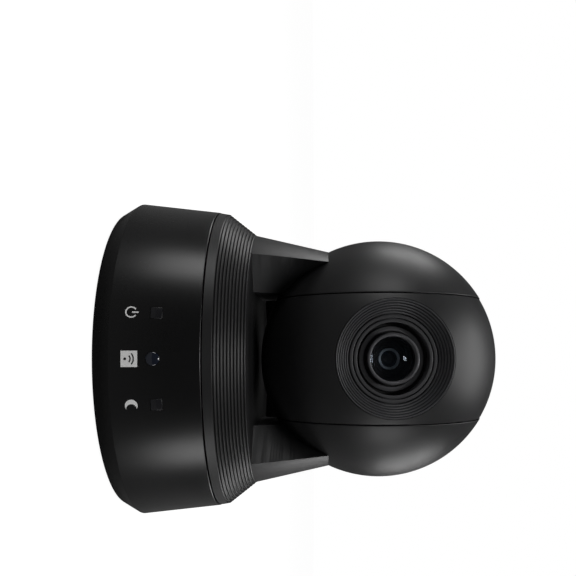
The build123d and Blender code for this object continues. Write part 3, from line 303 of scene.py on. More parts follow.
def modify(piece, kind, **settings):
    """Adds a modifier and applies it."""
    choose(piece)
    modifier = piece.modifiers.new(kind.lower(), kind)
    for key, value in settings.items():
        setattr(modifier, key, value)
    bpy.ops.object.modifier_apply(modifier=modifier.name)


def bevel(piece, width, segments=3, limit=math.radians(30)):
    """Rounds the edges that turn by more than the limit."""
    modify(piece, "BEVEL", width=width, segments=segments, limit_method="ANGLE", angle_limit=limit,
           use_clamp_overlap=True)


def combine(piece, other, how, keep=False):
    """Cuts, joins or intersects two solids; the second one is used up."""
    modify(piece, "BOOLEAN", operation=how, solver="EXACT", object=other)
    if not keep:
        discard(other)


def discard(piece):
    """Deletes a helper solid."""
    bpy.data.objects.remove(piece)


def merge(first, *others):
    """Joins pieces into one object."""
    choose(first, *others)
    bpy.ops.object.join()
    return first


def twin(piece, name, place):
    """A copy of a piece with its own mesh, moved."""
    other = piece.copy()
    other.data = piece.data.copy()
    other.name = name
    bpy.context.scene.collection.objects.link(other)
    put(other, place)
    return other


def complete(piece, material, body, slot, *nodes, angle=30):
    """Gives a piece its finish and shading, and says what it rides on and stands for."""
    choose(piece)
    bpy.ops.object.shade_smooth_by_angle(angle=math.radians(angle))
    piece.data.materials.clear()
    piece.data.materials.append(material)
    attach(piece, body)
    if nodes:
        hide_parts(*nodes)
    return piece


# ---------------------------------------------------------------- material helpers
def new_material(name):
    """An empty node material with its surface shader."""
    material = bpy.data.materials.new(name)
    material.use_nodes = True
    return material, material.node_tree, material.node_tree.nodes["Principled BSDF"]


def add(tree, kind, inputs=None, links=None, **settings):
    """Adds a node with its settings, its input values and its links."""
    node = tree.nodes.new(kind)
    for key, value in settings.items():
        setattr(node, key, value)
    for key, value in (inputs or {}).items():
        node.inputs[key].default_value = value
    for key, output in (links or {}).items():
        tree.links.new(output, node.inputs[key])
    return node


def moulded(name, paint, rough, grain, relief, metallic=0.0, spread=0.06, coat=0.0, ior=1.5, tint=0.12):
    """A finish with a fine grain: the grain's size in metres moves roughness, colour and relief."""
    material, tree, surface = new_material(name)
    surface.inputs["Metallic"].default_value = metallic
    if not metallic:
        surface.inputs["IOR"].default_value = ior
    surface.inputs["Coat Weight"].default_value = coat
    surface.inputs["Coat Roughness"].default_value = 0.08
    place = add(tree, "ShaderNodeTexCoord")
    fine = add(tree, "ShaderNodeTexNoise", {"Scale": 1 / grain, "Detail": 3.0, "Roughness": 0.6},
               {"Vector": place.outputs["Object"]})
    broad = add(tree, "ShaderNodeTexNoise", {"Scale": 1 / (40 * grain), "Detail": 2.0},
                {"Vector": place.outputs["Object"]})
    mixed = add(tree, "ShaderNodeMath", {0: 0.5}, {0: fine.outputs["Fac"], 1: broad.outputs["Fac"]}, operation="ADD")
    rough_map = add(tree, "ShaderNodeMapRange",
                    {"From Min": 0.6, "From Max": 1.4, "To Min": rough - spread, "To Max": rough + spread},
                    {"Value": mixed.outputs["Value"]})
    tree.links.new(rough_map.outputs["Result"], surface.inputs["Roughness"])
    ramp = add(tree, "ShaderNodeValToRGB", {}, {"Fac": broad.outputs["Fac"]})
    ramp.color_ramp.elements[0].color = [c * (1 - tint) for c in paint[:3]] + [1.0]
    ramp.color_ramp.elements[1].color = [min(1.0, c * (1 + tint)) for c in paint[:3]] + [1.0]
    ramp.color_ramp.elements[0].position = 0.3
    ramp.color_ramp.elements[1].position = 0.7
    tree.links.new(ramp.outputs["Color"], surface.inputs["Base Color"])
    bump = add(tree, "ShaderNodeBump", {"Strength": relief, "Distance": grain * 0.2},
               {"Height": fine.outputs["Fac"]})
    tree.links.new(bump.outputs["Normal"], surface.inputs["Normal"])
    return material


def turned(name, paint, rough, pitch, relief, place):
    """Turned metal: fine rings round an axis, which the given matrix puts on Z."""
    material, tree, surface = new_material(name)
    surface.inputs["Metallic"].default_value = 1.0
    surface.inputs["Base Color"].default_value = paint
    spot = add(tree, "ShaderNodeTexCoord")
    back = place.inverted()
    turn = back.to_euler()
    mapping = add(tree, "ShaderNodeMapping", {"Location": back.translation, "Rotation": turn},
                  {"Vector": spot.outputs["Object"]}, vector_type="POINT")
    rings = add(tree, "ShaderNodeTexWave", {"Scale": 0.05 / pitch, "Distortion": 0.6, "Detail": 2.0},
                {"Vector": mapping.outputs["Vector"]}, wave_type="RINGS", rings_direction="Z")
    rough_map = add(tree, "ShaderNodeMapRange", {"To Min": rough - 0.05, "To Max": rough + 0.05},
                    {"Value": rings.outputs["Fac"]})
    tree.links.new(rough_map.outputs["Result"], surface.inputs["Roughness"])
    bump = add(tree, "ShaderNodeBump", {"Strength": relief, "Distance": pitch * 0.1},
               {"Height": rings.outputs["Fac"]})
    tree.links.new(bump.outputs["Normal"], surface.inputs["Normal"])
    return material


MATERIALS = {}


def make_materials():
    """Makes every finish once."""
    c = colours()
    # polished injection-moulded ABS: deep black with soft-edged reflections and a faint orange peel
    MATERIALS["gloss_abs"] = moulded("moulded_gloss_abs", c.base_abs, 0.29, 1.2 * MM, 0.03, spread=0.03)
    # spark-textured ABS: charcoal black, wide soft highlights; its 0.1 mm grain is drawn at 0.5 mm to show
    MATERIALS["satin_abs"] = moulded("moulded_satin_abs", c.body_abs, 0.44, 0.5 * MM, 0.10, spread=0.05)
    # black anodised, turned aluminium with fine rings; its colour is painted a mid grey, far lighter than black
    # anodising, so that the rings read as lit
    MATERIALS["anodised"] = turned("anodised_turned_aluminium", c.anodised, 0.36, 0.35 * MM, 0.25, lens_place())
    # silk-screen ink: matt white with slightly uneven cover
    MATERIALS["ink"] = moulded("silk_screen_ink", c.ink, 0.55, 0.3 * MM, 0.05, tint=0.02)
    # dark moulded ABS under the print
    MATERIALS["dark_ink"] = moulded("black_print", linear("#1a1a1a"), 0.5, 0.3 * MM, 0.05)
    # moulded rubber: matt, dusty black
    MATERIALS["rubber"] = moulded("moulded_rubber", c.rubber, 0.8, 0.6 * MM, 0.3, spread=0.08)
    # smoked acrylic: smooth, almost black, with sharp small reflections
    MATERIALS["smoked"] = moulded("smoked_acrylic", c.smoked, 0.26, 0.8 * MM, 0.01, spread=0.02, coat=0.15)
    # receiver's dome: dark polished plastic that lets infrared through, with a blue glint
    MATERIALS["dome"] = moulded("infrared_acrylic", linear("#0d1424"), 0.08, 0.8 * MM, 0.0, spread=0.01, coat=1.0)
    # satin ABS of the bezel, a little smoother than the head; it is the head's black plastic painted a lighter grey
    # so that its ribs read as lit
    MATERIALS["bezel"] = moulded("bezel_abs_painted_lighter", linear("#48484a"), 0.36, 0.5 * MM, 0.05, spread=0.04)
    # matt black paint inside the lens: takes nearly all the light
    MATERIALS["baffle"] = moulded("matt_black_paint", linear("#060606"), 0.75, 0.5 * MM, 0.1)
    # glass-filled nylon of the sockets: dull black with a rough skin
    MATERIALS["nylon"] = moulded("glass_filled_nylon", linear("#181818"), 0.6, 0.4 * MM, 0.25)
    # powder-coated pressed steel: fine orange peel, half matt
    MATERIALS["powder"] = moulded("powder_coated_steel", linear("#1d1d1e"), 0.5, 0.6 * MM, 0.3)
    # nickel, zinc, ground, black oxide steel
    MATERIALS["nickel"] = moulded("nickel_plated_steel", linear("#c9c9cc"), 0.25, 0.5 * MM, 0.05, metallic=1.0)
    MATERIALS["zinc"] = moulded("zinc_plated_steel", linear("#c3c6cb"), 0.38, 0.8 * MM, 0.08, metallic=1.0)
    MATERIALS["ground"] = moulded("ground_steel", linear("#bfc0c4"), 0.28, 0.3 * MM, 0.08, metallic=1.0)
    MATERIALS["oxide"] = moulded("black_oxide_steel", linear("#3a3a3d"), 0.42, 0.4 * MM, 0.12, metallic=1.0)
    MATERIALS["aluminium"] = moulded("turned_aluminium", linear("#d2d3d6"), 0.33, 0.4 * MM, 0.1, metallic=1.0)
    MATERIALS["brass"] = moulded("turned_brass", linear("#d0a656"), 0.28, 0.4 * MM, 0.1, metallic=1.0)
    # epoxy board under green solder resist: glossy green with copper shadows
    MATERIALS["board"] = moulded("solder_resist_board", linear("#14552f"), 0.35, 0.8 * MM, 0.1, tint=0.25)
    MATERIALS["epoxy"] = moulded("moulded_epoxy", linear("#1b1b1b"), 0.55, 0.3 * MM, 0.2)
    MATERIALS["lamp"] = moulded("clear_epoxy", linear("#d8dcde"), 0.2, 0.6 * MM, 0.02)
    MATERIALS["acetal"] = moulded("moulded_acetal", linear("#e9e9e4"), 0.45, 0.5 * MM, 0.08)
    # multi-coated optical glass: almost clear, with a thin blue-violet film that mirrors the lamps
    glass, tree, surface = new_material("coated_optical_glass")
    surface.inputs["Alpha"].default_value = 0.25
    surface.inputs["IOR"].default_value = 1.52
    surface.inputs["Roughness"].default_value = 0.03
    surface.inputs["Coat Weight"].default_value = 1.0
    surface.inputs["Coat Tint"].default_value = c.coating
    # the base colour turns from black face-on to dark violet towards grazing view: a painted sheen of the coating
    painted_sheen_angle = add(tree, "ShaderNodeLayerWeight", {"Blend": 0.35})
    tint = add(tree, "ShaderNodeValToRGB", {}, {"Fac": painted_sheen_angle.outputs["Facing"]})
    tint.color_ramp.elements[0].color = linear("#06080c")
    tint.color_ramp.elements[1].color = linear("#15131f")
    tree.links.new(tint.outputs["Color"], surface.inputs["Base Color"])
    MATERIALS["glass"] = glass
    # coated inner element: dark mirror-smooth glass with a blue-grey sheen
    MATERIALS["inner_glass"] = moulded("coated_inner_glass", linear("#0c1a26"), 0.08, 0.8 * MM, 0.0, coat=1.0,
                                       spread=0.01)
    # pale blue-white ring colour: a painted reflection of the lamps mirrored as a ring in the lens coating
    MATERIALS["ring_glass"] = moulded("painted_reflection_ring_finish", linear("#c9dcec"), 0.3, 0.4 * MM, 0.05)


# ---------------------------------------------------------------- pieces
class PTZ_OT_stage(bpy.types.Operator):
    """Add the floor, the lights and the camera"""

    bl_idname = "ptz.stage"
    bl_label = "Stage"

    def execute(self, context):
        clear_selection()
        bpy.ops.mesh.primitive_circle_add(vertices=96, radius=6.0, fill_type="NGON", location=(0, 0, 0))
        floor = context.object
        floor.name = "studio_floor"
        material, tree, surface = new_material("matt_paper_floor")
        surface.inputs["Roughness"].default_value = 0.9
        place = add(tree, "ShaderNodeTexCoord")
        fibre = add(tree, "ShaderNodeTexNoise", {"Scale": 300.0}, {"Vector": place.outputs["Object"]})
        shade = add(tree, "ShaderNodeValToRGB", {}, {"Fac": fibre.outputs["Fac"]})
        shade.color_ramp.elements[0].color = colours().floor
        shade.color_ramp.elements[1].color = [0.9 * part for part in colours().floor[:3]] + [1.0]
        tree.links.new(shade.outputs["Color"], surface.inputs["Base Color"])
        # the paper is lit from below where it is seen, so that it stays an even white to the horizon
        seen = add(tree, "ShaderNodeLightPath")
        surface.inputs["Emission Color"].default_value = (1, 1, 1, 1)
        glow = add(tree, "ShaderNodeMath", {1: 0.97}, {0: seen.outputs["Is Camera Ray"]}, operation="MULTIPLY")
        tree.links.new(glow.outputs["Value"], surface.inputs["Emission Strength"])
        floor.data.materials.append(material)
        target = Vector((0, 0, 0.09))
        # name, place, size, watts
        lamps = (
            ("left_softbox", (-0.95, -0.36, 0.16), (0.34, 0.60), 2.6),
            ("right_softbox", (0.95, -0.36, 0.16), (0.34, 0.60), 2.6),
            ("left_rear_softbox", (-0.90, 0.50, 0.42), (0.35, 0.50), 2.6),
            ("right_rear_softbox", (0.90, 0.50, 0.42), (0.35, 0.50), 2.6),
            ("top_softbox", (0.0, 0.05, 1.15), (0.8, 0.6), 5.0),
            ("front_strip", (0.0, -0.75, 1.05), (0.20, 0.40), 4.0),
        )
        for name, spot, size, watts in lamps:
            clear_selection()
            bpy.ops.object.light_add(type="AREA", location=spot)
            lamp = context.object
            lamp.name = name
            lamp.data.shape = "RECTANGLE"
            lamp.data.size, lamp.data.size_y = size
            lamp.data.energy = watts
            aim = target - Vector(spot)
            lamp.rotation_euler = aim.to_track_quat("-Z", "Y").to_euler()
        world = bpy.data.worlds.new("studio")
        context.scene.world = world
        world.use_nodes = True
        sky = world.node_tree
        background = sky.nodes["Background"]
        # the room is white where it is seen, and dim as a light, as black flags round the table make it
        seen = add(sky, "ShaderNodeLightPath")
        glow = add(sky, "ShaderNodeMapRange", {"To Min": 0.06, "To Max": 1.0},
                   {"Value": seen.outputs["Is Camera Ray"]})
        background.inputs["Color"].default_value = (1, 1, 1, 1)
        sky.links.new(glow.outputs["Result"], background.inputs["Strength"])
        context.scene.view_settings.view_transform = "Standard"
        clear_selection()
        eye = (0, -0.3501, 0.0905)
        bpy.ops.object.camera_add(location=eye)
        camera = context.object
        camera.name = "studio_camera"
        # the camera is turned on its side, with the object's top to the right
        camera.matrix_world = Matrix((
            (0, -1, 0, eye[0]),
            (0, 0, -1, eye[1]),
            (1, 0, 0, eye[2]),
            (0, 0, 0, 1),
        ))
        camera.data.sensor_width = 36.0
        camera.data.lens = 45.92
        camera.data.shift_x = -0.063
        camera.data.shift_y = 0.123
        camera.data.clip_start = 0.01
        camera.data.clip_end = 50.0
        context.scene.camera = camera
        return {"FINISHED"}


class PTZ_OT_base_shell(bpy.types.Operator):
    """Add the base's shell with its deck and connector recess"""

    bl_idname = "ptz.base_shell"
    bl_label = "Base shell"

    def execute(self, context):
        s = sizes()
        top = BASE_TOP_Z
        deck = top - s.deck_drop
        wall = s.base_wall
        corner_z = BASE_Z + s.base_chamfer_h
        hole_r = 17.0 * MM
        outer = [(s.base_edge_r, BASE_Z), (s.base_wide_r, corner_z), (s.base_top_r, top)]
        inner = [
            (s.base_top_r - wall, top), (base_radius(deck - BASE_Z) - wall, deck), (hole_r, deck),
            (hole_r, deck - wall), (base_radius(deck - wall - BASE_Z) - wall, deck - wall),
            (s.base_wide_r - wall, corner_z), (s.base_edge_r - wall, BASE_Z),
        ]
        shell = lathe("base_skin", soften(outer + inner, s.edge_round))
        body = lathe("base_solid", [(0, BASE_Z)] + outer + [(0, top)])
        low = BASE_Z + 9.5 * MM
        high = BASE_Z + 30.5 * MM
        half = 31.0 * MM
        rim = 2.0 * MM
        panel_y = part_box("rear_panel")[0].y
        frame_box = block("recess_frame", (-half - rim, panel_y, low - rim), (half + rim, 0.09, high + rim))
        combine(frame_box, body, "INTERSECT")
        combine(shell, frame_box, "UNION")
        opening = block("recess_opening", (-half, panel_y, low), (half, 0.09, high))
        combine(shell, opening, "DIFFERENCE")
        gap = 0.1 * MM
        pane = s.window_side / 2 + gap
        for azimuth in (-s.window_angle, s.window_angle):
            cutter = block("window_cutter", (-pane, -pane, -4 * MM), (pane, pane, 4 * MM))
            put(cutter, wall_place(s.window_h, azimuth))
            combine(shell, cutter, "DIFFERENCE")
        bore = s.receiver_r + gap
        cutter = lathe("dome_cutter", [(0, -4 * MM), (bore, -4 * MM), (bore, 4 * MM), (0, 4 * MM)], SMALL_STEPS)
        put(cutter, wall_place(s.receiver_h, 0))
        combine(shell, cutter, "DIFFERENCE")
        complete(shell, MATERIALS["gloss_abs"], "base", "gloss_black_abs", "base_shell")
        return {"FINISHED"}


class PTZ_OT_windows(bpy.types.Operator):
    """Add the receiver's dome and the two lamp windows"""

    bl_idname = "ptz.windows"
    bl_label = "Front windows"

    def execute(self, context):
        s = sizes()
        r = s.receiver_r
        dome = [(0, -2.4 * MM), (r, -2.4 * MM), (r, 0.15 * MM)]
        for step in range(1, 9):
            angle = math.pi / 2 * step / 8
            dome.append((r * math.cos(angle), 0.15 * MM + r * 0.28 * math.sin(angle)))
        piece = lathe("receiver_dome", dome, SMALL_STEPS)
        put(piece, wall_place(s.receiver_h, 0))
        complete(piece, MATERIALS["dome"], "base", "dark_window", "ir_window")
        half = s.window_side / 2
        for name, azimuth in (("power_window", -s.window_angle), ("standby_window", s.window_angle)):
            pane = block(f"{name}_pane", (-half, -half, -2.4 * MM), (half, half, 0.12 * MM), 0.25 * MM)
            put(pane, wall_place(s.window_h, azimuth))
            complete(pane, MATERIALS["smoked"], "base", "dark_window", name)
        return {"FINISHED"}


def print_on_wall(piece, height, azimuth, lift):
    """Lays a flat print on the base's round wall, a hair proud of it."""
    s = sizes()
    place = wall_place(height, azimuth)
    choose(piece)
    bpy.ops.object.mode_set(mode="EDIT")
    bpy.ops.mesh.select_all(action="SELECT")
    bpy.ops.mesh.subdivide(number_cuts=3)
    bpy.ops.object.mode_set(mode="OBJECT")
    radius = base_radius(height)
    for vertex in piece.data.vertices:
        vertex.co.z += lift - (radius - math.sqrt(radius ** 2 - vertex.co.x ** 2))
    put(piece, place)


class PTZ_OT_marks(bpy.types.Operator):
    """Add the printed signs: a power sign, a moon for standby, and the receiver's white plate"""

    bl_idname = "ptz.marks"
    bl_label = "Printed signs"

    def execute(self, context):
        s = sizes()
        thick = 0.03 * MM
        height = 15.6 * MM
        # power sign: an open ring with a bar in its gap
        outer, inner = 2.3 * MM, 1.75 * MM
        ring = lathe("power_sign", [(inner, 0), (outer, 0), (outer, thick), (inner, thick)],
                     40, math.radians(290), math.radians(125))
        bar = block("power_bar", (-0.28 * MM, 0.3 * MM, 0), (0.28 * MM, 2.75 * MM, thick))
        merge(ring, bar)
        print_on_wall(ring, height, -s.window_angle, 0.04 * MM)
        complete(ring, MATERIALS["ink"], "base", "white_acetal")
        # standby sign: a crescent
        steps = 28
        points = []
        for step in range(steps + 1):
            angle = math.radians(55 + 250 * step / steps)
            points.append((2.4 * MM * math.cos(angle), 2.4 * MM * math.sin(angle)))
        start, end = Vector(points[-1]), Vector(points[0])
        middle = Vector((1.35 * MM, 0))
        radius = (start - middle).length
        first = math.atan2(*(start - middle).yx)
        last = math.atan2(*(end - middle).yx)
        if first < 0:
            first += 2 * math.pi
        for step in range(1, steps):
            angle = first + (last - first) * step / steps
            points.append((middle.x + radius * math.cos(angle), middle.y + radius * math.sin(angle)))
        moon = prism("standby_sign", points, 0, thick)
        print_on_wall(moon, height, s.window_angle, 0.04 * MM)
        complete(moon, MATERIALS["ink"], "base", "white_acetal")
        # receiver's plate with a dot and two waves
        half = 3.1 * MM
        plate = block("receiver_plate", (-half, -half, 0), (half, half, thick))
        print_on_wall(plate, height - 0.3 * MM, 0, 0.03 * MM)
        complete(plate, MATERIALS["ink"], "base", "white_acetal")
        dot_r = 0.55 * MM
        dot = lathe("receiver_sign", [(0, 0), (dot_r, 0), (dot_r, thick), (0, thick)], 24)
        put(dot, Matrix.Translation((0, -1.5 * MM, 0)))
        for ring_r in (1.7 * MM, 2.9 * MM):
            edge = ring_r + 0.5 * MM
            wave = lathe("receiver_wave", [(ring_r, 0), (edge, 0), (edge, thick), (ring_r, thick)],
                         24, math.radians(80), math.radians(50))
            put(wave, Matrix.Translation((0, -1.5 * MM, 0)))
            merge(dot, wave)
        print_on_wall(dot, height - 0.3 * MM, 0, 0.07 * MM)
        complete(dot, MATERIALS["dark_ink"], "base", "dark_window")
        return {"FINISHED"}


def cone_radius(height):
    """Radius of the arms' outer cone at a height over the yoke's floor."""
    s = sizes()
    meet_h = HEAD_Z - s.arm_meet_drop - RING_Z - s.ring_h
    meet_r = math.sqrt(s.head_r ** 2 - s.arm_meet_drop ** 2)
    return s.ring_top_r + (meet_r - s.ring_top_r) * height / meet_h


def arm_outline(height, inset):
    """Plan outline of the right arm at a height over the floor; its outer side is left long."""
    s = sizes()
    share = height / (HEAD_Z - s.arm_meet_drop - RING_Z - s.ring_h)
    angle = s.arm_front_angle + (s.arm_meet_angle - s.arm_front_angle) * share
    edge = Vector((math.cos(angle), math.sin(angle))) * cone_radius(height)
    corner = Vector((s.arm_x, s.arm_root_y + (s.arm_meet_y - s.arm_root_y) * share))
    along = (edge - corner).normalized()
    start = corner + Vector((along.y, -along.x)) * inset
    start = start + along * ((s.arm_x + inset - start.x) / along.x)
    far = start + along * 2 * (edge - corner).length
    return [(start.x, -start.y), (far.x, -far.y), (far.x, far.y), (start.x, start.y)]


def arm_wedge(name, inset, foot_h, top_h):
    """One arm as a solid: the outer cone between the arm's slanted inner walls, set in by the inset."""
    s = sizes()
    floor_z = RING_Z + s.ring_h
    wedge = lathe(name, [(0, floor_z + foot_h), (cone_radius(0) - inset, floor_z + foot_h),
                         (cone_radius(0) - inset, floor_z), (cone_radius(top_h) - inset, floor_z + top_h),
                         (0, floor_z + top_h)])
    loops = []
    for height in (foot_h, top_h):
        points = [(x, y, floor_z + height) for x, y in arm_outline(height, inset)]
        loop = draw(points + [points[0]])
        bpy.ops.mesh.select_all(action="SELECT")
        bpy.ops.mesh.remove_doubles(threshold=1e-6)
        bpy.ops.object.mode_set(mode="OBJECT")
        loops.append(loop)
    sides = merge(*loops)
    bpy.ops.object.mode_set(mode="EDIT")
    bpy.ops.mesh.select_all(action="SELECT")
    bpy.ops.mesh.bridge_edge_loops(number_cuts=30, interpolation="LINEAR")
    bpy.ops.mesh.select_all(action="SELECT")
    bpy.ops.mesh.fill_holes(sides=0)
    tidy()
    bpy.ops.object.mode_set(mode="OBJECT")
    combine(wedge, sides, "INTERSECT")
    return wedge


class PTZ_OT_yoke_housing(bpy.types.Operator):
    """Add the yoke: the ribbed ring, its floor, the two arms and the parapet"""

    bl_idname = "ptz.yoke_housing"
    bl_label = "Yoke housing"

    def execute(self, context):
        s = sizes()
        floor_z = RING_Z + s.ring_h
        band = Vector((s.ring_band_r, RING_Z + s.ring_band_h))
        run = Vector((s.ring_top_r, floor_z)) - band
        out = Vector((run.y, -run.x)).normalized()
        outer = [(s.ring_bottom_r, RING_Z), (band.x, band.y)]
        for rib in range(s.rib_count):
            # groove floor, then the rib's rounded crest
            for share, depth in ((0.03, 0.6), (0.12, 1.0), (0.42, 1.0), (0.52, 0.55), (0.62, 0.12), (0.74, 0.0),
                                 (0.88, 0.0), (0.97, 0.12)):
                spot = band + run * (rib + share) / s.rib_count - out * depth * s.rib_depth
                outer.append((spot.x, spot.y))
        outer.append((s.ring_top_r, floor_z))
        inner = [(0, floor_z), (0, floor_z - s.floor_t), (s.ring_top_r - s.ring_wall, floor_z - s.floor_t),
                 (s.ring_band_r - s.ring_wall - s.rib_depth, RING_Z + s.ring_band_h),
                 (s.ring_bottom_r - s.ring_wall, RING_Z)]
        ring = lathe("yoke_skin", outer + inner)
        meet_h = HEAD_Z - s.arm_meet_drop - floor_z
        top_h = meet_h + 4.0 * MM
        arm = arm_wedge("arm", 0.0, -s.floor_t / 2, top_h)
        bevel(arm, 0.45 * MM)
        hollow = arm_wedge("arm_hollow", s.arm_wall, -s.floor_t, top_h + 1 * MM)
        combine(arm, hollow, "DIFFERENCE")
        ball_r = s.head_r + 0.1 * MM
        ball = lathe("ball", [(ball_r * math.sin(math.pi * k / 96), HEAD_Z - ball_r * math.cos(math.pi * k / 96))
                              for k in range(97)], 192)
        combine(arm, ball, "DIFFERENCE")
        other = twin(arm, "other_arm", Matrix.Rotation(math.pi, 4, "Z"))
        wall = s.arm_wall
        foot = floor_z - 0.5 * MM
        crest = floor_z + s.parapet_h
        crest_r = cone_radius(s.parapet_h)
        section = soften([(s.ring_top_r - wall, foot), (s.ring_top_r, foot), (s.ring_top_r, floor_z),
                          (crest_r, crest), (crest_r - wall, crest)], 0.4 * MM)
        parapet = lathe("parapet", section, 96, s.parapet_arc, (math.pi - s.parapet_arc) / 2)
        merge(ring, arm, other, parapet)
        complete(ring, MATERIALS["satin_abs"], "yoke", "satin_black_abs", "yoke_housing")
        return {"FINISHED"}


def sphere_line(radius, x_from, x_to, steps):
    """Points on a ball's outline as (distance from the X axis, x)."""
    a = math.acos(x_from / radius)
    b = math.acos(x_to / radius)
    return [(radius * math.sin(a + (b - a) * k / steps), radius * math.cos(a + (b - a) * k / steps))
            for k in range(steps + 1)]


class PTZ_OT_cheek_covers(bpy.types.Operator):
    """Add the two round covers at the sides of the head"""

    bl_idname = "ptz.cheek_covers"
    bl_label = "Cheek covers"

    def execute(self, context):
        s = sizes()
        outside = sphere_line(s.head_r, s.split_x, s.head_r, 56)
        inside = sphere_line(s.head_r - s.head_wall, s.split_x, s.head_r - s.head_wall, 40)
        section = soften(outside + inside[::-1], 0.35 * MM)
        section = [(max(r, 0.0), x) for r, x in section]
        for name, side in (("left", -1), ("right", 1)):
            cover = lathe(f"{name}_cheek_skin", section)
            put(cover, cheek_place(side))
            complete(cover, MATERIALS["satin_abs"], "yoke", "satin_black_abs", f"{name}_cheek_cover")
        return {"FINISHED"}


class PTZ_OT_head_shells(bpy.types.Operator):
    """Add the head's front and rear shells, with the bezel's opening and the screw wells"""

    bl_idname = "ptz.head_shells"
    bl_label = "Head shells"

    def execute(self, context):
        s = sizes()
        ball_r = s.head_r - s.head_inset
        half = s.split_x - s.split_gap
        wall_half = half - 2.0 * MM
        outside = [(4.1 * MM, half)] + sphere_line(ball_r, half, -half, 72) + [(4.1 * MM, -half)]
        inside = [(4.1 * MM, wall_half)] + sphere_line(ball_r - s.head_wall, wall_half, -wall_half, 56)
        inside.append((4.1 * MM, -wall_half))
        section = soften(outside + inside[::-1], 0.35 * MM)
        front = lathe("head_front_skin", section)
        put(front, cheek_place(1))
        rear = twin(front, "head_rear_skin", Matrix.Identity(4))
        place = lens_place()
        far = 0.12
        for shell, low, high in ((front, -far, s.seam_s), (rear, s.seam_s - s.seam_gap, far)):
            side = block("seam_cutter", (-far, -far, low), (far, far, high))
            put(side, place)
            combine(shell, side, "DIFFERENCE")
        hole = s.bezel_r + s.bezel_fit
        cutter = lathe("bezel_cutter", [(0, 10 * MM), (hole, 10 * MM), (hole, 80 * MM), (0, 80 * MM)])
        put(cutter, place)
        combine(front, cutter, "DIFFERENCE")
        post_x, post_y = (half - 2.0 * MM) - 0.75 * 3.5 * MM, 27.0 * MM
        screw_s = -32.0 * MM
        head = [(0, screw_s), (2.0 * MM, screw_s), (2.0 * MM, screw_s - 1.2 * MM), (0, screw_s - 1.2 * MM)]
        screw = lathe("head_screw", soften(head, 0.5 * MM), 48)
        cross_cut(screw, screw_s - 1.2 * MM, 2.4 * MM, 0.5 * MM)
        screws = []
        for x in (-post_x, post_x):
            for y in (-post_y, post_y):
                move = place @ Matrix.Translation((x, y, 0))
                well = lathe("well_cutter", [(0, -80 * MM), (2.1 * MM, -80 * MM), (2.1 * MM, -20 * MM),
                                             (0, -20 * MM)], 48)
                put(well, move)
                combine(rear, well, "DIFFERENCE")
                depth = -math.sqrt((ball_r - 0.8 * MM) ** 2 - (math.hypot(x, y) + 3.5 * MM) ** 2)
                tube = lathe("screw_post", [(2.1 * MM, screw_s + 2 * MM), (3.5 * MM, screw_s + 2 * MM),
                                            (3.5 * MM, depth), (2.1 * MM, depth - 0.6 * MM)], 48)
                put(tube, move)
                merge(rear, tube)
                screws.append(twin(screw, "head_screw_copy", move))
        discard(screw)
        merge(screws[0], *screws[1:])
        screws[0].name = "head_screw_set"
        complete(screws[0], MATERIALS["oxide"], "head", "dark_steel", "head_screws")
        complete(front, MATERIALS["satin_abs"], "head", "satin_black_abs", "head_front_shell")
        complete(rear, MATERIALS["satin_abs"], "head", "satin_black_abs", "head_rear_shell")
        return {"FINISHED"}


def cross_cut(screw, level, span, slot):
    """Cuts a cross recess into a screw's head."""
    for long_x, long_y in ((span / 2, slot / 2), (slot / 2, span / 2)):
        bar = block("slot", (-long_x, -long_y, level - 0.7 * MM), (long_x, long_y, level + 0.7 * MM))
        combine(screw, bar, "DIFFERENCE")


class PTZ_OT_lens_bezel(bpy.types.Operator):
    """Add the bezel: a funnel with five fine ribs and two bolder ridges"""

    bl_idname = "ptz.lens_bezel"
    bl_label = "Lens bezel"

    def execute(self, context):
        s = sizes()
        front = math.sqrt((s.head_r - s.head_inset) ** 2 - s.bezel_r ** 2)
        lip = 0.6 * MM
        back = front - 13.0 * MM
        ribs = 5
        width = (s.bezel_r - lip - s.funnel_r) / ribs
        fall = s.funnel_depth / ribs
        points = [(s.bezel_r, back), (s.bezel_r, front), (s.bezel_r - lip, front)]
        for rib in range(ribs):
            for share, depth in ((0.0, 0.8), (0.40, 0.8), (0.46, 0.10), (0.55, 0.0), (0.90, 0.0), (0.97, 0.08)):
                points.append((s.bezel_r - lip - width * (rib + share), front - fall * (rib + share) - depth * MM))
        ridge_z = front - s.funnel_depth
        groove = 1.6 * MM
        r = s.funnel_r
        for ridge in range(2):
            points += [(r, ridge_z - groove), (r - 0.6 * MM, ridge_z - groove), (r - 0.6 * MM, ridge_z),
                       (r - 1.9 * MM, ridge_z)]
            r -= 1.9 * MM
        points += [(r, back), (s.bezel_r - 2 * MM, back)]
        bezel = lathe("bezel_funnel", soften(points, 0.22 * MM, 3))
        put(bezel, lens_place())
        # the bezel's lighter grey is painted light on the same black plastic as the head
        complete(bezel, MATERIALS["bezel"], "head", "satin_black_abs", "lens_bezel", angle=35)
        return {"FINISHED"}


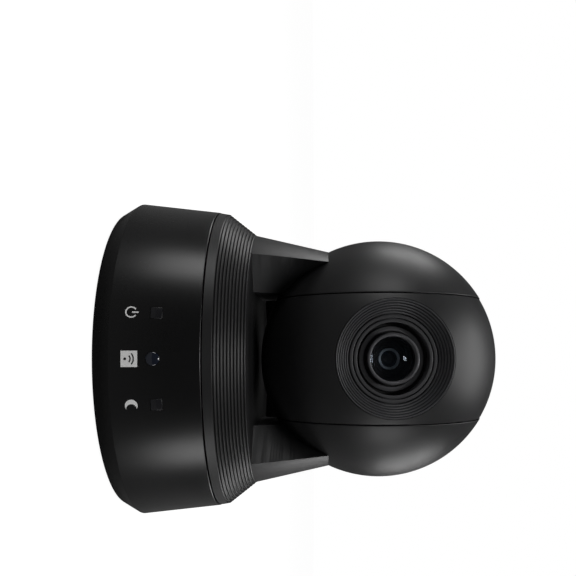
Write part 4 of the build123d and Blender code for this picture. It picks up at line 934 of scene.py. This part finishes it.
class PTZ_OT_lens_rings(bpy.types.Operator):
    """Add the collar and the barrel round the front glass"""

    bl_idname = "ptz.lens_rings"
    bl_label = "Lens rings"

    def execute(self, context):
        s = sizes()
        front = math.sqrt((s.head_r - s.head_inset) ** 2 - s.bezel_r ** 2)
        place = lens_place()
        low = front - 12.0 * MM
        high = front - 10.8 * MM
        collar = lathe("collar_ring", soften([(s.collar_bore_r, low), (s.collar_r, low), (s.collar_r, high),
                                              (s.collar_bore_r, high)], 0.4 * MM))
        put(collar, place)
        # the collar's lighter grey is painted light on black anodised metal
        complete(collar, MATERIALS["anodised"], "head", "anodised_black", "lens_collar")
        back = front - 21.0 * MM
        tip = front - 5.0 * MM
        bore = s.barrel_r - s.barrel_wall
        profile = [(bore, back), (s.barrel_r, back), (s.barrel_r, tip), (bore + 0.45 * MM, tip)]
        # stepped baffles inside the mouth keep stray light off the glass
        for step in range(4):
            z = tip - (0.35 + 0.5 * step) * MM
            profile += [(bore + (0.45 - 0.1 * step) * MM, z), (bore + (0.3 - 0.1 * step) * MM, z)]
        barrel = lathe("barrel_tube", soften(profile, 0.25 * MM, 3))
        put(barrel, place)
        complete(barrel, MATERIALS["anodised"], "head", "anodised_black", "lens_barrel")
        return {"FINISHED"}


class PTZ_OT_lens_glass(bpy.types.Operator):
    """Add the front glass, and behind it a baffle, a ring painted pale blue as a reflection of the lamps, and the
    next element
    """

    bl_idname = "ptz.lens_glass"
    bl_label = "Lens glass"

    def execute(self, context):
        s = sizes()
        front = math.sqrt((s.head_r - s.head_inset) ** 2 - s.bezel_r ** 2)
        place = lens_place()
        r = s.barrel_r - s.barrel_wall - 0.02 * MM
        back = front - 13.0 * MM
        bulge_r = 20.0 * MM
        apex = back + 5.2 * MM
        dome = [(r * k / 24, apex - bulge_r + math.sqrt(bulge_r ** 2 - (r * k / 24) ** 2)) for k in range(25)]
        hollow_r = 30.0 * MM
        rear = [(r * k / 16, back + hollow_r - math.sqrt(hollow_r ** 2 - (r * k / 16) ** 2) - 0.9 * MM)
                for k in range(16, -1, -1)]
        glass = lathe("front_glass", dome + rear, 128)
        put(glass, place)
        complete(glass, MATERIALS["glass"], "head", "coated_glass", "front_lens")
        wall_r = s.barrel_r - s.barrel_wall - 0.02 * MM
        low = front - 20.5 * MM
        steps = [(wall_r, low), (wall_r, back - 1.0 * MM), (7.6 * MM, back - 1.0 * MM), (7.3 * MM, back - 2.0 * MM),
                 (6.4 * MM, back - 2.0 * MM), (6.1 * MM, back - 3.0 * MM), (5.2 * MM, back - 3.0 * MM),
                 (5.0 * MM, low)]
        baffle = lathe("lens_baffle", soften(steps, 0.12 * MM, 2), 128)
        put(baffle, place)
        complete(baffle, MATERIALS["baffle"], "head", "anodised_black")
        # ring behind the glass, painted pale blue-white as a reflection of the lamps
        edge = lathe("painted_reflection_ring", soften([(3.6 * MM, low), (4.7 * MM, low), (4.7 * MM, back - 3.0 * MM),
                                               (3.6 * MM, back - 3.5 * MM)], 0.2 * MM), 96)
        put(edge, place)
        complete(edge, MATERIALS["ring_glass"], "head", "coated_glass")
        r = 3.6 * MM
        bulge_r = 5.0 * MM
        apex = back - 2.9 * MM
        dome = [(r * k / 16, apex - bulge_r + math.sqrt(bulge_r ** 2 - (r * k / 16) ** 2)) for k in range(17)]
        inner = lathe("inner_element", dome + [(r, low), (0, low)], 96)
        put(inner, place)
        complete(inner, MATERIALS["inner_glass"], "head", "coated_glass")
        return {"FINISHED"}


class PTZ_OT_underside(bpy.types.Operator):
    """Add the rubber feet, the bottom screws and the tripod nut"""

    bl_idname = "ptz.underside"
    bl_label = "Underside"

    def execute(self, context):
        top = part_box("rubber_feet")[1].z
        r = 6.0 * MM
        outline = soften([(0, 0), (4.6 * MM, 0), (4.6 * MM, 0.25 * MM), (4.9 * MM, 0.25 * MM), (4.9 * MM, 0), (r, 0),
                          (r, top), (0, top)], 0.4 * MM)
        foot = lathe("foot", outline, SMALL_STEPS)
        feet = []
        for turn in range(4):
            angle = turn * math.pi / 2
            move = Matrix.Translation((48 * MM * math.cos(angle), 48 * MM * math.sin(angle), 0))
            feet.append(twin(foot, "foot_copy", move))
        discard(foot)
        merge(feet[0], *feet[1:])
        feet[0].name = "foot_set"
        complete(feet[0], MATERIALS["rubber"], "base", "black_rubber", "rubber_feet")
        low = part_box("bottom_screws")[0].z
        head = soften([(0, low), (2.0 * MM, low), (2.6 * MM, low + 0.6 * MM), (2.6 * MM, low + 1.2 * MM),
                       (1.0 * MM, low + 1.2 * MM), (1.0 * MM, low + 8 * MM), (0, low + 8 * MM)], 0.3 * MM)
        screw = lathe("bottom_screw", head, 48)
        cross_cut(screw, low, 3.0 * MM, 0.6 * MM)
        screws = []
        for x in (-41, 41):
            for y in (-41, 41):
                screws.append(twin(screw, "bottom_screw_copy", Matrix.Translation((x * MM, y * MM, 0))))
        discard(screw)
        merge(screws[0], *screws[1:])
        screws[0].name = "bottom_screw_set"
        complete(screws[0], MATERIALS["oxide"], "base", "dark_steel", "bottom_screws")
        low, high = (corner.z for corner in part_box("tripod_nut"))
        bore, pitch = 3.2 * MM, 1.27 * MM
        profile = [(5.2 * MM, high), (5.2 * MM, low), (bore, low)]
        turns = int((high - low) / pitch)
        for turn in range(turns):
            z = low + 0.5 * MM + turn * pitch
            profile += [(bore, z), (bore + 0.45 * MM, z + pitch * 0.3), (bore, z + pitch * 0.6)]
        profile.append((bore, high))
        nut = lathe("tripod_insert", profile, 96)
        flange = prism("nut_flange", [(8.2 * MM * math.cos(math.pi * k / 3), 8.2 * MM * math.sin(math.pi * k / 3))
                                      for k in range(6)], 3.6 * MM, 4.8 * MM)
        bore_cut = lathe("flange_cut", [(0, 0), (5.0 * MM, 0), (5.0 * MM, 9 * MM), (0, 9 * MM)], 64)
        combine(flange, bore_cut, "DIFFERENCE")
        merge(nut, flange)
        complete(nut, MATERIALS["brass"], "base", "brass", "tripod_nut")
        return {"FINISHED"}


class PTZ_OT_inner_finishes(bpy.types.Operator):
    """Give the remaining mechanical pieces their finishes"""

    bl_idname = "ptz.inner_finishes"
    bl_label = "Inner finishes"

    def execute(self, context):
        finishes = {
            "satin_abs": ["bottom_plate", "left_cheek_disc", "right_cheek_disc"],
            "powder": ["rear_panel", "inner_frame", "lens_bracket"],
            "nylon": ["power_jack", "serial_in_socket", "serial_out_socket"],
            "nickel": ["usb_socket", "pan_motor", "tilt_motor", "tilt_motor_bracket"],
            "board": ["main_board", "front_board", "sensor_board"],
            "epoxy": ["board_chips", "ir_receiver", "image_sensor"],
            "lamp": ["status_leds"],
            "zinc": ["board_and_motor_screws", "yoke_screws"],
            "ground": ["pan_bearing_outer_race", "pan_bearing_inner_race", "pan_bearing_balls", "left_tilt_bearing",
                       "right_tilt_bearing", "guide_rods", "pan_motor_shaft", "tilt_motor_shaft", "hub_clip"],
            "aluminium": ["pan_hub", "left_tilt_shaft", "right_tilt_shaft"],
            "acetal": ["pan_gear", "tilt_gear"],
            "brass": ["pan_pinion", "tilt_pinion"],
            "baffle": ["lens_housing", "zoom_carrier", "focus_carrier"],
            "inner_glass": ["zoom_lens", "focus_lens"],
        }
        for finish, nodes in finishes.items():
            for node in nodes:
                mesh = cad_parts[node].data
                mesh.materials.clear()
                mesh.materials.append(MATERIALS[finish])
        return {"FINISHED"}


class PTZ_PT_panel(bpy.types.Panel):
    """Lists the camera's pieces"""

    bl_idname = "PTZ_PT_panel"
    bl_label = "PTZ camera"
    bl_space_type = "VIEW_3D"
    bl_region_type = "UI"
    bl_category = "PTZ camera"

    def draw(self, context):
        for operator in OPERATORS:
            self.layout.operator(operator.bl_idname)
        for group in (context.scene.ptz_sizes, context.scene.ptz_colours):
            for name in group.bl_rna.properties.keys():
                if name not in ("rna_type", "name"):
                    self.layout.prop(group, name)


OPERATORS = (
    PTZ_OT_stage, PTZ_OT_base_shell, PTZ_OT_windows, PTZ_OT_marks, PTZ_OT_yoke_housing, PTZ_OT_cheek_covers,
    PTZ_OT_head_shells, PTZ_OT_lens_bezel, PTZ_OT_lens_rings, PTZ_OT_lens_glass, PTZ_OT_underside,
    PTZ_OT_inner_finishes,
)
CLASSES = (PtzSizes, PtzColours) + OPERATORS + (PTZ_PT_panel,)


def register():
    """Registers the classes and the scene's settings."""
    for item in CLASSES:
        bpy.utils.register_class(item)
    bpy.types.Scene.ptz_sizes = bpy.props.PointerProperty(type=PtzSizes)
    bpy.types.Scene.ptz_colours = bpy.props.PointerProperty(type=PtzColours)


def unregister():
    """Removes the scene's settings and the classes."""
    del bpy.types.Scene.ptz_colours
    del bpy.types.Scene.ptz_sizes
    for item in reversed(CLASSES):
        bpy.utils.unregister_class(item)


def main():
    """Builds everything."""
    register()
    make_materials()
    for operator in OPERATORS:
        group, name = operator.bl_idname.split(".")
        getattr(getattr(bpy.ops, group), name)()
    clear_selection()


if __name__ == "__main__":
    main()
